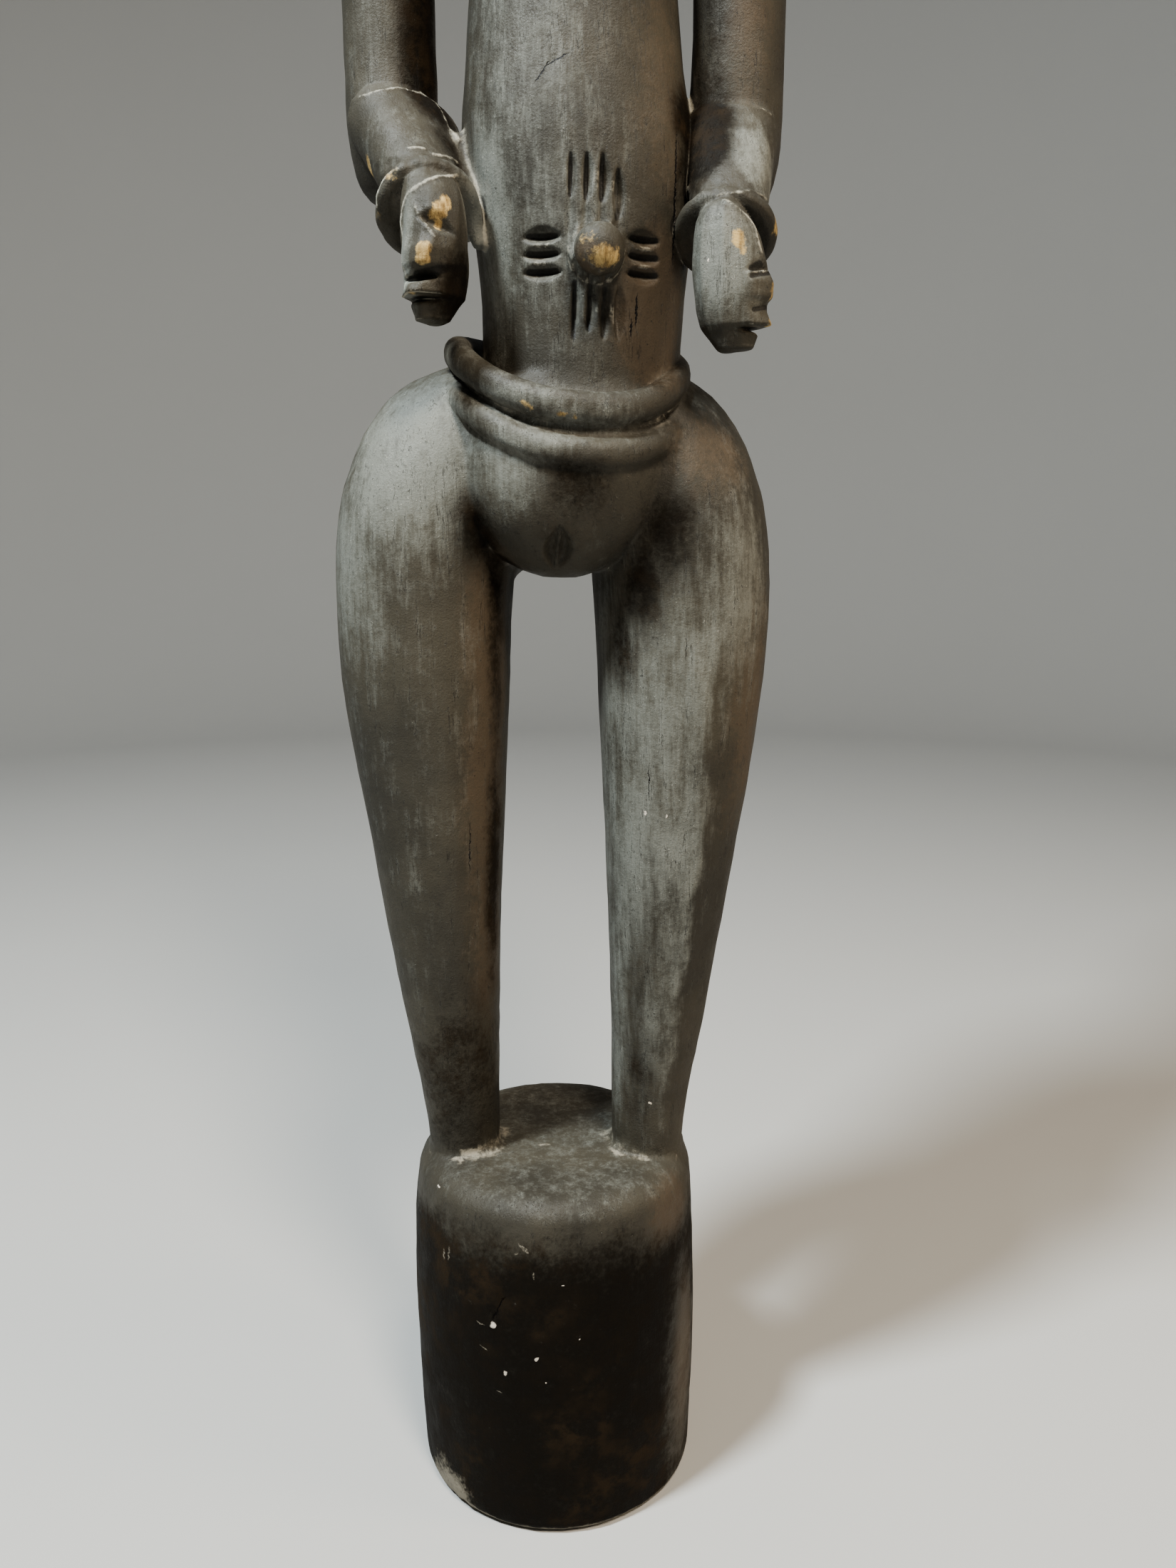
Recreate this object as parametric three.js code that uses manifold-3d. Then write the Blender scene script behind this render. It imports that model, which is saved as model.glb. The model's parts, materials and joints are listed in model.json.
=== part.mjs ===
// A rhythm pounder: a woman standing on a solid round base, carved from one log of dark wood.
// Millimetres, +Z up. The figure faces -Y, and "left" and "right" are the viewer's.
// The origin is the middle of the base's flat underside.

import * as THREE from 'three';
import { mergeVertices } from 'three/addons/utils/BufferGeometryUtils.js';
import Module from 'manifold-3d';

const wasm = await Module();
wasm.setup();

// Driving dimensions: the base that strikes the ground
const BASE_RADIUS = 71;
const BASE_HEIGHT = 172;
const BASE_FOOT_RADIUS = 67.5;
const BASE_RIM_ROUND = 15;
const BASE_SHIFT = -1.7;

// Driving dimensions: heights of the figure's landmarks
const CROTCH_HEIGHT = 449;
const BELT_HEIGHT = 541.5;
const NAVEL_HEIGHT = 576.5;
const EYE_HEIGHT = 983;
const CROWN_HEIGHT = 1054;
const CREST_HEIGHT = 1084;
const CREST_THICKNESS = 13;
const CREST_BEVEL = 2.5;
const HAIR_THICKNESS = 2.2;
const HAIRLINE = [-12, 1005];
const HAIRLINE_SLOPE = THREE.MathUtils.degToRad(52);

// Driving dimensions: the upper body, which is set a little to the right and turned that way
const BODY_X = 7;
const TURN = THREE.MathUtils.degToRad(7);

// A station is [height, x, y, half width, half depth] of one level cross-section.
const LEG = [
  [150, 45.2, -5, 16.5, 16.8],
  [190, 45.9, -5, 18.2, 18.8],
  [245, 49.9, -5, 23.0, 24.0],
  [317, 54.2, -4, 29.7, 31.5],
  [386, 57.8, -1, 36.8, 38.5],
  [435, 58.6, 2, 39.7, 43.0],
  [475, 55.5, 4, 40.3, 44.5],
  [500, 49.0, 5, 39.6, 42.0],
  [517, 41.5, 5, 37.8, 36.0],
  [531, 32.0, 5, 33.0, 27.0],
  [541, 22.0, 5, 20.0, 14.0],
];
const LEG_SHIFT = -0.8;

const PELVIS = [
  [CROTCH_HEIGHT, 3.0, -22, 8.0, 8.0],
  [453, 3.5, -17, 20.0, 20.0],
  [462, 4.5, -12, 33.5, 32.0],
  [478, 5.5, -9, 44.0, 41.5],
  [498, 6.0, -7, 48.0, 45.0],
  [516, 6.3, -5, 45.0, 43.0],
  [532, 6.3, -3, 40.0, 38.0],
];

const TORSO = [
  [498, 8.0, 2, 46.0, 46.0],
  [530, 11.5, 1, 43.5, 44.0],
  [560, 13.0, 0, 43.5, 43.5],
  [590, 13.0, -1, 46.5, 45.0],
  [622, 11.0, -1, 48.6, 45.0],
  [655, 9.5, 0, 45.4, 42.5],
  [700, 9.0, 1, 41.5, 39.5],
  [740, 8.0, 2, 38.0, 37.5],
  [776, 7.5, 3, 42.5, 39.5],
  [812, 7.0, 4, 57.0, 38.0],
  [834, 6.0, 4, 72.0, 33.0],
  [852, 6.0, 5, 68.0, 27.0],
  [866, 7.0, 5, 44.0, 23.0],
  [878, 7.0, 5, 20.0, 19.0],
];

const NECK = [
  [860, 7, 5, 24.0, 23.0],
  [880, 7, 5, 21.5, 21.5],
  [905, 7, 4, 20.5, 20.5],
  [935, 7, 3, 21.5, 23.0],
];

const HEAD = [
  [909, 7, -24, 8.0, 8.0],
  [914, 7, -20, 15.0, 18.0],
  [926, 7, -13, 23.5, 30.0],
  [945, 7, -6, 30.0, 40.0],
  [968, 7, -2, 33.5, 45.0],
  [990, 7, 0, 35.0, 46.5],
  [1010, 7, 2, 34.0, 45.0],
  [1030, 7, 4, 29.0, 39.0],
  [1045, 7, 5, 20.0, 28.0],
  [CROWN_HEIGHT, 7, 6, 6.0, 9.0],
];

// An upper arm, from the point of the elbow up: here x is how far the shoulder leans inwards.
const ARM = [
  [599, 0, 0, 5.0, 5.0],
  [603, 0, 0, 11.5, 11.5],
  [612, 0, 0, 16.3, 16.3],
  [628, 0, 0, 19.0, 19.0],
  [660, 0, 0, 19.3, 19.3],
  [760, 0, 0, 19.0, 19.5],
  [815, 0, 0, 21.5, 22.0],
  [838, 5, 0, 21.0, 21.5],
  [851, 11, 0, 17.0, 17.0],
  [859, 17, 0, 9.0, 9.0],
];

// The two arms differ as the carver left them: where each hangs [x, y, how much higher its elbow
// is], and how its fist is turned. A fist's twist is in degrees per millimetre of height. Its
// notches have a floor that runs across it between two places, [outward, across, up], and two
// faces that open at two slopes.
const ARMS = [
  {
    arm: [-67.8, 4, 5], elbow: [-62.5, -1, 633], wrist: [-50, -36, 600], forearm: [24.5, 14.5],
    disc: [-49.3, -33, 594.5], fist: [-45.5, -45, 579], fistTurn: 268, fistTwist: 1.1,
    notches: [
      { floor: [[12, -12, 10], [9, 10, 0.5]], slopes: [-0.4, 2] },
      { floor: [[8.7, -13, -15.2], [10.5, 13, -14]], slopes: [-0.35, 0.5] },
    ],
  },
  {
    arm: [78.2, 4, 0], elbow: [75, -1, 630], wrist: [72, -32, 591], forearm: [20.5, 14.5],
    disc: [71, -28, 586.5], fist: [71.5, -41, 569], fistTurn: 342, fistTwist: 0,
    notches: [
      { floor: [[6.3, -15, -1.7], [19, 10, 1.4]], slopes: [0.2, 2.5] },
      { floor: [[9.3, -15, -13.4], [18.9, 10, -13]], slopes: [-0.4, 0.45] },
    ],
  },
];
const DISC_RADIUS = 20.6;
const DISC_THICKNESS = 8;

// A fist from below: [height, reach of the fingers, reach of the back, half thickness]
const FIST = [
  [-30.0, 3.0, 3.0, 3.0],
  [-29.0, 10.5, 4.0, 6.0],
  [-23.5, 12.4, 8.5, 8.5],
  [-21.4, 8.0, 10.0, 10.0],
  [-20.4, 18.0, 10.6, 11.0],
  [-14.8, 15.6, 12.2, 12.0],
  [-11.8, 15.6, 12.6, 12.5],
  [-9.5, 17.7, 12.9, 12.8],
  [-4.2, 18.0, 13.6, 13.2],
  [0.8, 15.5, 14.1, 13.4],
  [9.5, 13.4, 14.0, 13.2],
  [19.0, 9.0, 13.3, 12.0],
  [25.0, 4.5, 10.0, 9.0],
  [28.0, 1.5, 3.0, 3.5],
];

// Half of a level section through a fist, as shares of those: [forwards, sideways]
const FIST_SECTION = [[1, 0.2], [0.62, 0.75], [0, 1], [-0.65, 0.9], [-1, 0.4]];

// The belt: two soft rolls round the hips, low in front
const BELT_X = 6.3;
const BELT_HALF_WIDTH = 47.5;
const BELT_HALF_DEPTH = 49;
const BELT_SQUARE = 2.35;
const BELT_ROLL = 6.3;
const BELT_ROLL_HEIGHT = 7;
const BELT_GAP = 14.5;
const BELT_TURN = THREE.MathUtils.degToRad(15);

// The navel knob, and the cuts that ray out from it
const NAVEL_RADIUS = 9.8;
const NAVEL_REACH = 17;
const UPRIGHT_CUT_WIDTH = 3.8;
const LEVEL_CUT_WIDTH = 5.2;
const CUT_DEPTH = 3.2;

// Mesh helpers

// A closed mesh becomes a solid once its shared vertices are merged.
function solid(geometry) {
  const bare = geometry.index ? geometry.clone() : geometry;
  bare.deleteAttribute('normal');
  bare.deleteAttribute('uv');
  const merged = mergeVertices(bare, 1e-4);
  return new wasm.Manifold(new wasm.Mesh({
    numProp: 3,
    vertProperties: new Float32Array(merged.attributes.position.array),
    triVerts: new Uint32Array(merged.index.array),
  }));
}

function join(pieces) {
  return pieces.reduce((whole, piece) => whole.add(piece));
}

// Reads a list of stations at any height, on smooth curves through them.
function readStations(stations, height) {
  const last = stations.length - 1;
  let i = 0;
  while (i < last - 1 && height > stations[i + 1][0]) i += 1;
  const [a, b] = [stations[i], stations[i + 1]];
  const span = b[0] - a[0];
  const t = THREE.MathUtils.clamp((height - a[0]) / span, 0, 1);
  const slope = (k, column) => {
    const [before, after] = [stations[Math.max(k - 1, 0)], stations[Math.min(k + 1, last)]];
    return (after[column] - before[column]) / (after[0] - before[0]);
  };
  return [1, 2, 3, 4].map((column) => {
    const [m0, m1] = [slope(i, column) * span, slope(i + 1, column) * span];
    const rise = b[column] - a[column];
    return a[column] + t * (m0 + t * (3 * rise - 2 * m0 - m1 + t * (m0 + m1 - 2 * rise)));
  });
}

// Swells a sine or cosine so that a circle turns into a rounded square; 2 leaves it a circle.
function rounded(value, square) {
  return Math.sign(value) * Math.abs(value) ** (2 / square);
}

// A column whose level cross-sections follow the stations; square above 2 fills its corners.
function loft(stations, { sides, rings, square = 2, crowd = [] }) {
  const [low, high] = [stations[0][0], stations[stations.length - 1][0]];
  const geometry = new THREE.CylinderGeometry(1, 1, 1, sides, rings);
  geometry.rotateX(Math.PI / 2);
  const position = geometry.attributes.position;
  for (let i = 0; i < position.count; i += 1) {
    const share = position.getZ(i) + 0.5;
    const height = low + (high - low) * crowded(share, crowd);
    const [x, y, halfWidth, halfDepth] = readStations(stations, height);
    const reach = Math.hypot(position.getX(i), position.getY(i));
    const angle = Math.atan2(position.getY(i), position.getX(i));
    position.setXYZ(
      i,
      x + reach * halfWidth * rounded(Math.cos(angle), square),
      y + reach * halfDepth * rounded(Math.sin(angle), square),
      height,
    );
  }
  return geometry;
}

// Crowds the rings of a loft towards its rounded ends: "low", "high" or both.
function crowded(share, ends) {
  if (ends.length === 2) return (1 - Math.cos(Math.PI * share)) / 2;
  if (ends[0] === 'high') return Math.sin((Math.PI / 2) * share);
  if (ends[0] === 'low') return 1 - Math.cos((Math.PI / 2) * share);
  return share;
}

// Turns a geometry built up +Z so that it points from one place towards another.
function aim(geometry, from, direction) {
  const up = new THREE.Vector3(0, 0, 1);
  const turn = new THREE.Quaternion().setFromUnitVectors(up, direction.clone().normalize());
  return geometry.applyQuaternion(turn).translate(from.x, from.y, from.z);
}

function ellipsoid([x, y, z], [rx, ry, rz], across, down) {
  const geometry = new THREE.SphereGeometry(1, across, down).rotateX(Math.PI / 2);
  return geometry.scale(rx, ry, rz).translate(x, y, z);
}

// A slim boat-shaped cutter from one place to another, for a groove cut with a gouge
function gouge(from, to, width, depth) {
  const along = to.clone().sub(from);
  const geometry = new THREE.SphereGeometry(1, 4, 4).rotateX(Math.PI / 2);
  geometry.scale(width / 2, depth, along.length() / 2);
  return aim(geometry, from.clone().add(to).multiplyScalar(0.5), along);
}

// The base: a squat drum, fullest at the middle, with a rounded top rim
function base() {
  const stations = [
    [0, BASE_SHIFT + 1, 0, BASE_FOOT_RADIUS, BASE_FOOT_RADIUS],
    [6, BASE_SHIFT + 1, 0, BASE_FOOT_RADIUS + 1.5, BASE_FOOT_RADIUS + 1.5],
    [90, BASE_SHIFT, 0, BASE_RADIUS, BASE_RADIUS],
    [140, BASE_SHIFT - 0.4, 0, BASE_RADIUS - 1.5, BASE_RADIUS - 1.5],
  ];
  const shoulder = BASE_RADIUS - 3;
  for (const angle of [0, 30, 60, 80]) {
    const turn = THREE.MathUtils.degToRad(angle);
    const radius = shoulder - BASE_RIM_ROUND * (1 - Math.cos(turn));
    const height = BASE_HEIGHT - BASE_RIM_ROUND * (1 - Math.sin(turn));
    stations.push([height, BASE_SHIFT, 0, radius, radius]);
  }
  stations.push([BASE_HEIGHT, BASE_SHIFT, 0, shoulder - BASE_RIM_ROUND, shoulder - BASE_RIM_ROUND]);
  return solid(loft(stations, { sides: 28, rings: 8, crowd: ['high'] }));
}

function legs() {
  return [-1, 1].map((side) => {
    const stations = LEG.map(([height, spread, ...rest]) => [height, LEG_SHIFT + side * spread, ...rest]);
    return solid(loft(stations, { sides: 18, rings: 11, square: 2.15, crowd: ['high'] }));
  });
}

// The pelvis: a rounded wedge between the thighs in front, and the buttocks behind
function pelvis() {
  const wedge = loft(PELVIS, { sides: 22, rings: 7, square: 2.5, crowd: ['low'] });
  const buttocks = [-1, 1].map((side) => solid(ellipsoid([2 + side * 29, 21, 490], [35, 44, 42], 14, 8)));
  const slit = new THREE.Vector3(3.4, -47, 468);
  const cut = gouge(slit, new THREE.Vector3(3.2, -36.5, 453), 2.6, 3);
  return [solid(wedge).subtract(solid(cut)), ...buttocks];
}

// How far a belt roll rises at an angle from straight ahead: it dips in front and rises behind.
function beltRise(angle) {
  const ahead = Math.cos(angle - BELT_TURN);
  return -15.5 * ahead - 9.5 * ahead * ahead;
}

function beltRoll(middle, spread, dip) {
  const tube = 0.1;
  const geometry = new THREE.TorusGeometry(1, tube, 7, 32);
  const position = geometry.attributes.position;
  for (let i = 0; i < position.count; i += 1) {
    const [x, y, z] = [position.getX(i), position.getY(i), position.getZ(i)];
    const reach = Math.hypot(x, y);
    const swell = ((reach - 1) / tube) * BELT_ROLL;
    const angle = Math.atan2(x, -y);
    position.setXYZ(
      i,
      BELT_X + (BELT_HALF_WIDTH + spread + swell) * rounded(Math.sin(angle), BELT_SQUARE),
      -(BELT_HALF_DEPTH + spread + swell) * rounded(Math.cos(angle), BELT_SQUARE),
      middle + dip * beltRise(angle) + (z / tube) * BELT_ROLL_HEIGHT,
    );
  }
  return solid(geometry);
}

// Fills the ring inside the two rolls, so that the belt sits on the hips as one mass.
function beltCore() {
  const geometry = new THREE.CylinderGeometry(1, 1, 1, 28, 1).rotateX(Math.PI / 2);
  const position = geometry.attributes.position;
  for (let i = 0; i < position.count; i += 1) {
    const [x, y, z] = [position.getX(i), position.getY(i), position.getZ(i)];
    const level = z > 0 ? BELT_HEIGHT : BELT_HEIGHT - BELT_GAP;
    const rise = beltRise(Math.atan2(x, -y)) * Math.hypot(x, y);
    const [across, back] = [rounded(x, BELT_SQUARE), rounded(y, BELT_SQUARE)];
    position.setXYZ(i, BELT_X + BELT_HALF_WIDTH * across, BELT_HALF_DEPTH * back, level + rise);
  }
  return solid(geometry);
}

function belt() {
  return [
    beltCore(),
    beltRoll(BELT_HEIGHT, 0, 1),
    beltRoll(BELT_HEIGHT - BELT_GAP, 0.8, 1.13),
  ];
}

// A point on the front of the torso, straight ahead of a given x and height
function torsoFront(x, height) {
  const [middle, y, halfWidth, halfDepth] = readStations(TORSO, height);
  const across = (x - middle) / halfWidth;
  return new THREE.Vector3(x, y - halfDepth * Math.sqrt(1 - across * across), height);
}

function navel() {
  const x = TORSO[2][1] + 5.6;
  const root = torsoFront(x, NAVEL_HEIGHT);
  const out = new THREE.Vector3(Math.sin(TURN), -Math.cos(TURN), -0.08);
  const collar = ellipsoid([0, 0, 1], [11.4, 11.4, 5], 14, 6);
  const knob = ellipsoid([0, 0, NAVEL_REACH / 2], [NAVEL_RADIUS, NAVEL_RADIUS, NAVEL_REACH / 2 + 1], 14, 8);
  return [solid(aim(collar, root, out)), solid(aim(knob, root, out))];
}

// The cuts that ray out from the navel: four up, four down, three to each side
function navelCuts() {
  const cuts = [];
  const cut = (x0, z0, x1, z1, width) => {
    cuts.push(solid(gouge(torsoFront(x0, z0), torsoFront(x1, z1), width, CUT_DEPTH)));
  };
  for (let i = 0; i < 4; i += 1) {
    const x = 7.8 + i * 6.2;
    cut(x, 595 + (i % 2), x + 0.2, 613 + 2 * ((i + 1) % 2), UPRIGHT_CUT_WIDTH);
    cut(x + 1.2, 541, x + 1, 565, UPRIGHT_CUT_WIDTH);
  }
  for (let i = 0; i < 3; i += 1) {
    const height = 582.6 - i * 6.5;
    cut(-11.2, height, 5, height, LEVEL_CUT_WIDTH);
    cut(30.6, height, 44.4, height - 0.4, LEVEL_CUT_WIDTH);
  }
  return cuts;
}

function breasts() {
  const profile = [[0, 24], [20, 25], [36, 23], [50, 17.5], [60, 11.5], [66, 7.5], [70, 6.5], [73, 4]];
  const stations = profile.map(([height, radius]) => [height, 0, 0, radius, radius]);
  return [-1, 1].map((side) => {
    const root = new THREE.Vector3(BODY_X + side * 23, -4, 792);
    const out = new THREE.Vector3(side * 0.16, -1, -0.3);
    return solid(aim(loft(stations, { sides: 14, rings: 7, crowd: ['high'] }), root, out));
  });
}

// Twists a geometry round the upright axis, by so many degrees for each millimetre of height.
function twist(geometry, rate) {
  const position = geometry.attributes.position;
  for (let i = 0; i < position.count; i += 1) {
    const [x, y, z] = [position.getX(i), position.getY(i), position.getZ(i)];
    const turn = THREE.MathUtils.degToRad(rate * z);
    position.setXY(i, x * Math.cos(turn) - y * Math.sin(turn), x * Math.sin(turn) + y * Math.cos(turn));
  }
  return geometry;
}

// A three-sided wedge that opens outwards from its floor
function notchCutter({ floor, slopes: [low, high] }) {
  const reach = 20;
  const corners = floor.flatMap(([out, across, up]) => [
    out, across, up,
    out + reach, across, up + low * reach,
    out + reach, across, up + high * reach,
  ]);
  const geometry = new THREE.BufferGeometry();
  geometry.setAttribute('position', new THREE.Float32BufferAttribute(corners, 3));
  geometry.setIndex([0, 1, 2, 3, 5, 4, 0, 3, 4, 0, 4, 1, 1, 4, 5, 1, 5, 2, 2, 5, 3, 2, 3, 0]);
  return geometry;
}

// A fist: rings from its lowest finger to the wrist, notched between the fingers
function fist({ fist: middle, fistTurn, fistTwist, notches }) {
  const rings = FIST.length - 1;
  const corners = [...FIST_SECTION, ...FIST_SECTION.map(([out, across]) => [out, -across]).reverse()];
  const geometry = new THREE.CylinderGeometry(1, 1, 1, corners.length, rings).rotateX(Math.PI / 2);
  const position = geometry.attributes.position;
  for (let i = 0; i < position.count; i += 1) {
    const [x, y, z] = [position.getX(i), position.getY(i), position.getZ(i)];
    const corner = Math.round((Math.atan2(y, x) / (2 * Math.PI) + 1) * corners.length - 0.5);
    const [out, across] = corners[corner % corners.length];
    const [height, front, back, half] = FIST[Math.round((z + 0.5) * rings)];
    const reach = Math.hypot(x, y);
    position.setXYZ(i, reach * out * (out > 0 ? front : back), reach * across * half, height);
  }
  const cutters = notches.map((notch) => solid(twist(notchCutter(notch), fistTwist)));
  const whole = solid(twist(geometry, fistTwist)).subtract(join(cutters));
  return whole.rotate([0, 0, fistTurn]).translate(middle);
}

function forearm({ elbow, wrist, forearm: [wide, narrow] }) {
  const [from, to] = [new THREE.Vector3(...elbow), new THREE.Vector3(...wrist)];
  const along = to.clone().sub(from);
  const length = along.length();
  const stations = [
    [-8, 0, 0, wide * 0.8, 13.0],
    [0, 0, 0, wide, 17.0],
    [length / 2, 0, 0, (wide + narrow) / 2, 15.5],
    [length, 0, 0, narrow, 13.0],
  ];
  return solid(aim(loft(stations, { sides: 14, rings: 3, square: 2.3 }), from, along));
}

function bracelet({ disc, elbow, wrist }) {
  const along = new THREE.Vector3(...wrist).sub(new THREE.Vector3(...elbow));
  const half = DISC_THICKNESS / 2;
  const stations = [
    [-half, 0, 0, DISC_RADIUS - 2.5, DISC_RADIUS - 2.5],
    [-half + 2, 0, 0, DISC_RADIUS, DISC_RADIUS],
    [half - 2, 0, 0, DISC_RADIUS, DISC_RADIUS],
    [half, 0, 0, DISC_RADIUS - 2.5, DISC_RADIUS - 2.5],
  ];
  return solid(aim(loft(stations, { sides: 18, rings: 3 }), new THREE.Vector3(...disc), along));
}

function arms() {
  return ARMS.flatMap((side) => {
    const [armX, armY, rise] = side.arm;
    const stations = ARM.map(([height, inward, , ...radii]) => (
      [height < 650 ? height + rise : height, armX - Math.sign(armX) * inward, armY, ...radii]
    ));
    const upper = solid(loft(stations, { sides: 14, rings: 9, crowd: ['low', 'high'] }));
    return [upper, forearm(side), bracelet(side), fist(side)];
  });
}

// The face is plain and calm: eyes at mid height, one eye's width apart, a long straight nose
function head() {
  const eyeWidth = 13.6;
  const faceY = -44;
  const noseFoot = 955;
  const mouthHeight = 938;
  const skull = solid(loft(HEAD, { sides: 20, rings: 11, square: 2.15, crowd: ['low', 'high'] }));
  const sockets = [-1, 1].map((side) => (
    solid(ellipsoid([BODY_X + side * eyeWidth * 1.25, faceY - 7, EYE_HEIGHT - 8], [13, 12, 19], 10, 7))
  ));
  const nose = loft([
    [noseFoot, BODY_X, faceY - 3, 6.8, 9.0],
    [noseFoot + 4, BODY_X, faceY - 2, 6.6, 9.4],
    [EYE_HEIGHT, BODY_X, faceY + 1, 3.6, 6.0],
    [EYE_HEIGHT + 18, BODY_X, faceY + 6, 4.5, 4.5],
  ], { sides: 8, rings: 4 });
  const eyes = [-1, 1].map((side) => (
    solid(ellipsoid([BODY_X + side * eyeWidth, faceY + 6, EYE_HEIGHT], [eyeWidth / 2, 5, 4.2], 10, 6))
  ));
  const lids = [-1, 1].map((side) => {
    const inner = new THREE.Vector3(BODY_X + side * eyeWidth * 0.55, faceY + 1, EYE_HEIGHT);
    const outer = new THREE.Vector3(BODY_X + side * eyeWidth * 1.45, faceY + 2.5, EYE_HEIGHT);
    return solid(gouge(inner, outer, 1.8, 1.8));
  });
  const lips = ellipsoid([BODY_X, faceY + 8, mouthHeight], [11, 10.5, 5], 12, 6);
  const parting = gouge(
    new THREE.Vector3(BODY_X - 10, faceY - 1, mouthHeight),
    new THREE.Vector3(BODY_X + 10, faceY - 1, mouthHeight),
    1.6,
    2,
  );
  const ears = [-1, 1].map((side) => {
    const shell = solid(ellipsoid([BODY_X + side * 34, 4, 976], [5.5, 9, 20], 10, 7));
    const hollow = solid(ellipsoid([BODY_X + side * 40, 1, 977], [4, 5, 13], 8, 5));
    return shell.subtract(hollow);
  });
  const carved = sockets.reduce((whole, socket) => whole.subtract(socket), skull);
  const features = join([carved, solid(nose), ...eyes, solid(lips), ...ears]);
  return [features.subtract(join([...lids, solid(parting)]))];
}

// The hair: a close cap behind a sloping hairline, and a tall crest from the forehead to the nape
function hair() {
  const scalp = HEAD.filter(([height]) => height > 940).map(([height, x, y, ...halves]) => {
    const top = height === CROWN_HEIGHT ? height + HAIR_THICKNESS : height;
    return [top, x, y, ...halves.map((half) => half + HAIR_THICKNESS)];
  });
  const cap = solid(loft(scalp, { sides: 18, rings: 8, square: 2.15, crowd: ['low', 'high'] }));
  const behind = new THREE.BoxGeometry(160, 160, 160).translate(0, 80, 0);
  behind.rotateX(HAIRLINE_SLOPE).translate(BODY_X, ...HAIRLINE);
  const arc = new THREE.Shape();
  arc.moveTo(-36, 1018);
  arc.bezierCurveTo(-34, 1060, -22, CREST_HEIGHT, 4, CREST_HEIGHT);
  arc.bezierCurveTo(40, CREST_HEIGHT, 60, 1040, 50, 985);
  arc.lineTo(43, 962);
  arc.lineTo(30, 980);
  arc.lineTo(-18, 1014);
  arc.closePath();
  const half = CREST_THICKNESS / 2;
  const crest = new THREE.ExtrudeGeometry(arc, {
    depth: half,
    curveSegments: 6,
    bevelThickness: half / 2,
    bevelSize: CREST_BEVEL,
    bevelOffset: -CREST_BEVEL,
    bevelSegments: 1,
  });
  crest.translate(0, 0, -half / 2).rotateX(Math.PI / 2).rotateZ(Math.PI / 2).translate(BODY_X, 0, 0);
  return [cap.intersect(solid(behind)), solid(crest)];
}

function figure() {
  const torso = solid(loft(TORSO, { sides: 24, rings: 15 }));
  const neck = solid(loft(NECK, { sides: 16, rings: 3 }));
  const body = join([
    base(), ...legs(), ...pelvis(), torso, ...belt(), ...breasts(), ...arms(), neck, ...head(), ...hair(),
  ]);
  return join([body.subtract(join(navelCuts())), ...navel()]);
}

// Turns the finished solid back into a mesh
function toGeometry(shape) {
  const { vertProperties, triVerts } = shape.getMesh();
  const geometry = new THREE.BufferGeometry();
  geometry.setAttribute('position', new THREE.BufferAttribute(vertProperties, 3));
  geometry.setIndex(new THREE.BufferAttribute(triVerts, 1));
  geometry.computeVertexNormals();
  return geometry;
}

const darkWood = new THREE.MeshStandardMaterial({ color: 0x2b2420, roughness: 0.55, metalness: 0 });

const pounder = new THREE.Group();
const carving = new THREE.Mesh(toGeometry(figure()), darkWood);
carving.name = 'carved_pounder_figure';
pounder.add(carving);

export default pounder;
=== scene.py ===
# A carved rhythm pounder, dressed for the camera: the same woman on the same base as the solid,
# modelled again as one finely carved surface with tool marks, cracks, wear and patina.
# Lengths are millimetres until the mesh is made. The figure faces -Y and +Z is up.

import json
import math

import bpy
import numpy as np
import openvdb
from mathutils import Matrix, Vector

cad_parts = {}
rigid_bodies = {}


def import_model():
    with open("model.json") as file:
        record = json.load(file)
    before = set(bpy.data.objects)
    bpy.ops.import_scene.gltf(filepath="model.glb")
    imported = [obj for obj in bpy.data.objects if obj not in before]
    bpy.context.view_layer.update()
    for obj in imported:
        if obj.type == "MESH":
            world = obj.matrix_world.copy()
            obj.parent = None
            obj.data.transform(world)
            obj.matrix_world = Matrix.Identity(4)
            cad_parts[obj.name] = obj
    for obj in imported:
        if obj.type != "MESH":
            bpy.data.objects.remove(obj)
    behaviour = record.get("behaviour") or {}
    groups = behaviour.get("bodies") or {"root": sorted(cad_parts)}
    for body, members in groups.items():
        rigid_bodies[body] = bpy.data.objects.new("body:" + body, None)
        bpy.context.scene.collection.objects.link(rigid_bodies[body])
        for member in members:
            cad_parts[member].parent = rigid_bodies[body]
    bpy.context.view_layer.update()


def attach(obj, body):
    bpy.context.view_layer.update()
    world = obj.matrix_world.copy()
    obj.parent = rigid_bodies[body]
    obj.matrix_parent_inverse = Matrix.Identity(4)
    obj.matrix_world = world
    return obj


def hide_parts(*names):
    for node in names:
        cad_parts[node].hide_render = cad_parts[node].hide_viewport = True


for leftover in list(bpy.data.objects):
    bpy.data.objects.remove(leftover)
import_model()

NODE = "carved_pounder_figure"
MM = 0.001
SEED = 4107

# Main dimensions, the same as the solid's
BASE_RADIUS = 71.0
BASE_HEIGHT = 172.0
BASE_FOOT_RADIUS = 67.5
BASE_RIM_ROUND = 15.0
BASE_SHIFT = -1.7
CROTCH_HEIGHT = 449.0
BELT_HEIGHT = 541.5
NAVEL_HEIGHT = 576.5
EYE_HEIGHT = 983.0
CROWN_HEIGHT = 1054.0
CREST_HEIGHT = 1084.0
CREST_THICKNESS = 13.0
HAIR_THICKNESS = 2.2
NAPE_HEIGHT = 946.0
CHIN_HEIGHT = 930.0
THIGH_TOP = 475.0
HAIRLINE = (-12.0, 1005.0)
HAIRLINE_SLOPE = math.radians(52)
BODY_X = 7.0
TURN = math.radians(7)

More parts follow.
